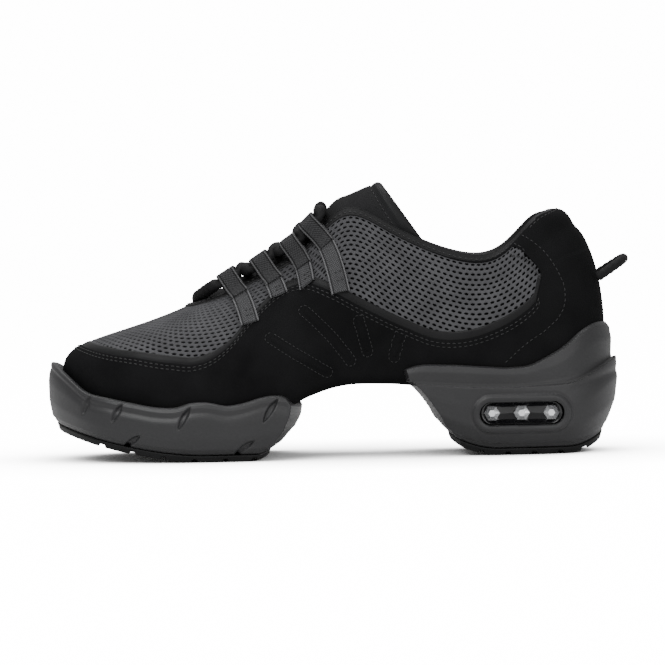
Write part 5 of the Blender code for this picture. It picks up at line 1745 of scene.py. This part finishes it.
def build_strap(name, row, side, node):
    """One webbing loop: the lying part follows the cloth, then the strap turns round the lace."""
    u, h = strap_places(row, side)
    centre, normal, along = strap_frame(row, side)
    n, t = normal[-1], along[-1]
    hub, axis, _ = lace_seat(row, side)
    hub = hub + 0.8 * MM * t
    radius = LACE_DIAMETER / 2 + LOOP_PLAY + STRAP / 2
    half = STRAP_WIDTH / 2
    path = [hub + radius * (np.cos(a) * t + np.sin(a) * n) for a in np.radians(range(-90, 121, 30))]
    path.append(centre[-1] - t * STRAP_FOLD * 0.45 + n * (2 * GAP + STRAP * 1.5 + 0.4 * MM))
    path.append(centre[-1] - t * STRAP_FOLD + n * (2 * GAP + STRAP * 1.4))
    path.append(centre[-1] - t * (STRAP_FOLD + 2.2 * MM) + n * (2 * GAP + STRAP * 1.0))
    path = np.array(path)
    step = point(u + 0.01, h) - point(u - 0.01, h)
    beside = -np.sign(step[:, 0]) * half * 0.02 / np.linalg.norm(step, axis=1)
    places = np.linspace(-1, 1, 5)
    lying = [surface(u + w * beside, h, STRAP_SEAT + STRAP / 2)[:-1] for w in places]
    turned = [path + axis * half * w for w in places]
    grid = np.concatenate([np.stack(lying, axis=1), np.stack(turned, axis=1)])
    grid = both_ways(grid, STRAP_ROWS, STRAP_ACROSS)
    normals = grid_normals(grid)
    mid = STRAP_ACROSS // 2
    if (normals[4, mid] * n).sum() < 0:
        normals = -normals
    across = np.linspace(-1, 1, STRAP_ACROSS)[None, :, None]
    thin = STRAP / 2 * np.sqrt(np.clip((1 - np.abs(across)) / 0.10, 0.08, 1))
    high, low = grid + normals * thin, grid - normals * thin
    rows, m = grid.shape[:2]
    corners = np.concatenate([high.reshape(-1, 3), low.reshape(-1, 3)])
    faces = grid_quads(rows, m)
    distance = lengths_along(grid, 0)
    uv = np.stack([np.broadcast_to(across[..., 0] * half, distance.shape), distance], axis=-1).reshape(-1, 2)
    quads = np.concatenate([faces[:, ::-1], faces + rows * m, rim_quads(rows, m)])
    # The turned part of the loop takes the darker webbing as painted shade.
    shaded_turn = quads.min(axis=1) % (rows * m) >= int(rows * STRAP_TURNED) * m
    piece = new_piece(name, corners, quads, [WEBBING, SHADED_WEBBING], shaded_turn, np.concatenate([uv, uv]))
    back = int(rows * 0.93)
    facing = np.sign((normals[back, mid] * n).sum())
    for place, way in ((4, 1), (7, 1), (back, facing)):
        stitch_row(high[place, 3:-3], normals[place, 3:-3] * way, pitch=1.9 * MM, length=1.4 * MM)
    return dress(piece, "webbing", node)


runs = [
    braided(f"lace_run_{k + 1}", path, LACE_DIAMETER, swell=bunched(path))
    for k, path in enumerate(lace_paths())
]
dress(runs[0], "lace", "lace")
dress(runs[1], "lace")
for k, row in enumerate(LACE_LOOPS):
    for side, word in ((-1, "outer"), (1, "inner")):
        build_strap(f"strap_{word}_{k + 1}", dict(zip(LOOP_COLUMNS, row)), side, f"lace_loop_{word}_{k + 1}")

# %% [markdown]
# ## Heel cord
#
# A cord loop is sewn into the seam behind the heel, for pulling the shoe on.

# %% Heel cord


def build_pull():
    foot = surface(np.array(PULL_STATION), np.array(PULL_SHARE), PULL_SEAT)
    up = np.array([np.cos(PULL_LEAN), 0, np.sin(PULL_LEAN)])
    leg = []
    for reach, spread in ((0.0, 1.0), (0.25, 0.98), (0.5, 0.86), (0.75, 0.70), (0.93, 0.40)):
        leg.append(foot * np.array([1, spread, 1]) + up * PULL_LENGTH * reach)
    tip = [foot * np.array([1, 0, 1]) + up * PULL_LENGTH]
    other = [p * np.array([1, -1, 1]) for p in reversed(leg)]
    path = resample(spline_rows(smooth_route(leg + tip + other, 29), 400), 150)
    return dress(braided("heel_cord", path, PULL_CORD), "lace", "pull_loop")


build_pull()

# %% [markdown]
# ## All stitches in one piece

# %% All stitches in one piece
stitches = new_piece("stitches", np.concatenate(stitch_corners), np.concatenate(stitch_quads), [THREAD])
dress(stitches, "suede")

# %% [markdown]
# ## Floor, light and camera
#
# A pale floor, three soft lamps, and a long lens that looks at the outer side from just above.

# %% Floor, light and camera
VIEW_CENTRE = (-79.2 * MM, 0.0, 56.0 * MM)
VIEW_WIDTH = 305.5 * MM
VIEW_DISTANCE = 2.4
VIEW_LIFT = np.radians(2.0)
VIEW_ROLL = np.radians(1.06)


LAMP_TARGET = (-0.08, 0.0, 0.05)
LAMPS = (
    ("key", (-0.7, -1.2, 1.3), 0.9, 26),
    ("fill", (0.9, -1.3, 0.7), 1.2, 12),
    ("top", (-0.1, 0.3, 1.5), 1.0, 16),
)
BACKDROP = 15.0
ROOM_LIGHT = 0.6
SHADOW_REACH = 105 * MM
SHADOW_DEPTH = 2.6


def build_floor():
    """A pale floor that the camera sees nearly white, with a painted soft shadow beside the shoe: the glow is
    the open share of the sky above each point, to a power."""
    corners = np.array([(-6, -6, 0), (6, -6, 0), (6, 6, 0), (-6, 6, 0)], float)
    made, tree, shader = new_material("floor", (0.8, 0.8, 0.8), 0.9, 0.0)
    seen = add_node(tree, "ShaderNodeLightPath").outputs["Is Camera Ray"]
    sky = add_node(tree, "ShaderNodeAmbientOcclusion", Distance=SHADOW_REACH, samples=8).outputs["AO"]
    # Painted shadow: the glow is dimmed wherever the shoe closes off the sky.
    glow = maths(tree, "MULTIPLY", maths(tree, "POWER", sky, SHADOW_DEPTH), BACKDROP - ROOM_LIGHT)
    shader.inputs["Emission Color"].default_value = (1, 1, 1, 1)
    tree.links.new(maths(tree, "MULTIPLY", seen, glow), shader.inputs["Emission Strength"])
    new_piece("floor", corners, [[0, 1, 2, 3]], [made])


def build_lamp(name, place, size, power):
    """A soft lamp that looks at the middle of the shoe."""
    lamp = bpy.data.lights.new(name, "AREA")
    lamp.energy, lamp.size = power, size
    held = bpy.data.objects.new(name, lamp)
    bpy.context.scene.collection.objects.link(held)
    away = np.array(place) - LAMP_TARGET
    flat = np.hypot(away[0], away[1])
    held.location = place
    held.rotation_euler = (np.arctan2(flat, away[2]), 0, np.arctan2(away[0], -away[1]))


def build_camera():
    lens = bpy.data.cameras.new("camera")
    lens.sensor_width = 36
    lens.lens = 36 * VIEW_DISTANCE / VIEW_WIDTH
    lens.clip_end = 40
    held = bpy.data.objects.new("camera", lens)
    bpy.context.scene.collection.objects.link(held)
    centre = np.array(VIEW_CENTRE)
    held.location = centre + VIEW_DISTANCE * np.array([0, -np.cos(VIEW_LIFT), np.sin(VIEW_LIFT)])
    held.rotation_mode = "XYZ"
    held.rotation_euler = (np.pi / 2 - VIEW_LIFT, VIEW_ROLL, 0)
    bpy.context.scene.camera = held


def build_world():
    world = bpy.data.worlds.new("world")
    bpy.context.scene.world = world
    world.use_nodes = True
    tree = world.node_tree
    seen = add_node(tree, "ShaderNodeLightPath").outputs["Is Camera Ray"]
    glow = maths(tree, "ADD", maths(tree, "MULTIPLY", seen, BACKDROP - ROOM_LIGHT), ROOM_LIGHT)
    tree.nodes["Background"].inputs["Color"].default_value = (1, 1, 1, 1)
    tree.links.new(glow, tree.nodes["Background"].inputs["Strength"])


build_floor()
for lamp in LAMPS:
    build_lamp(*lamp)
build_camera()
build_world()
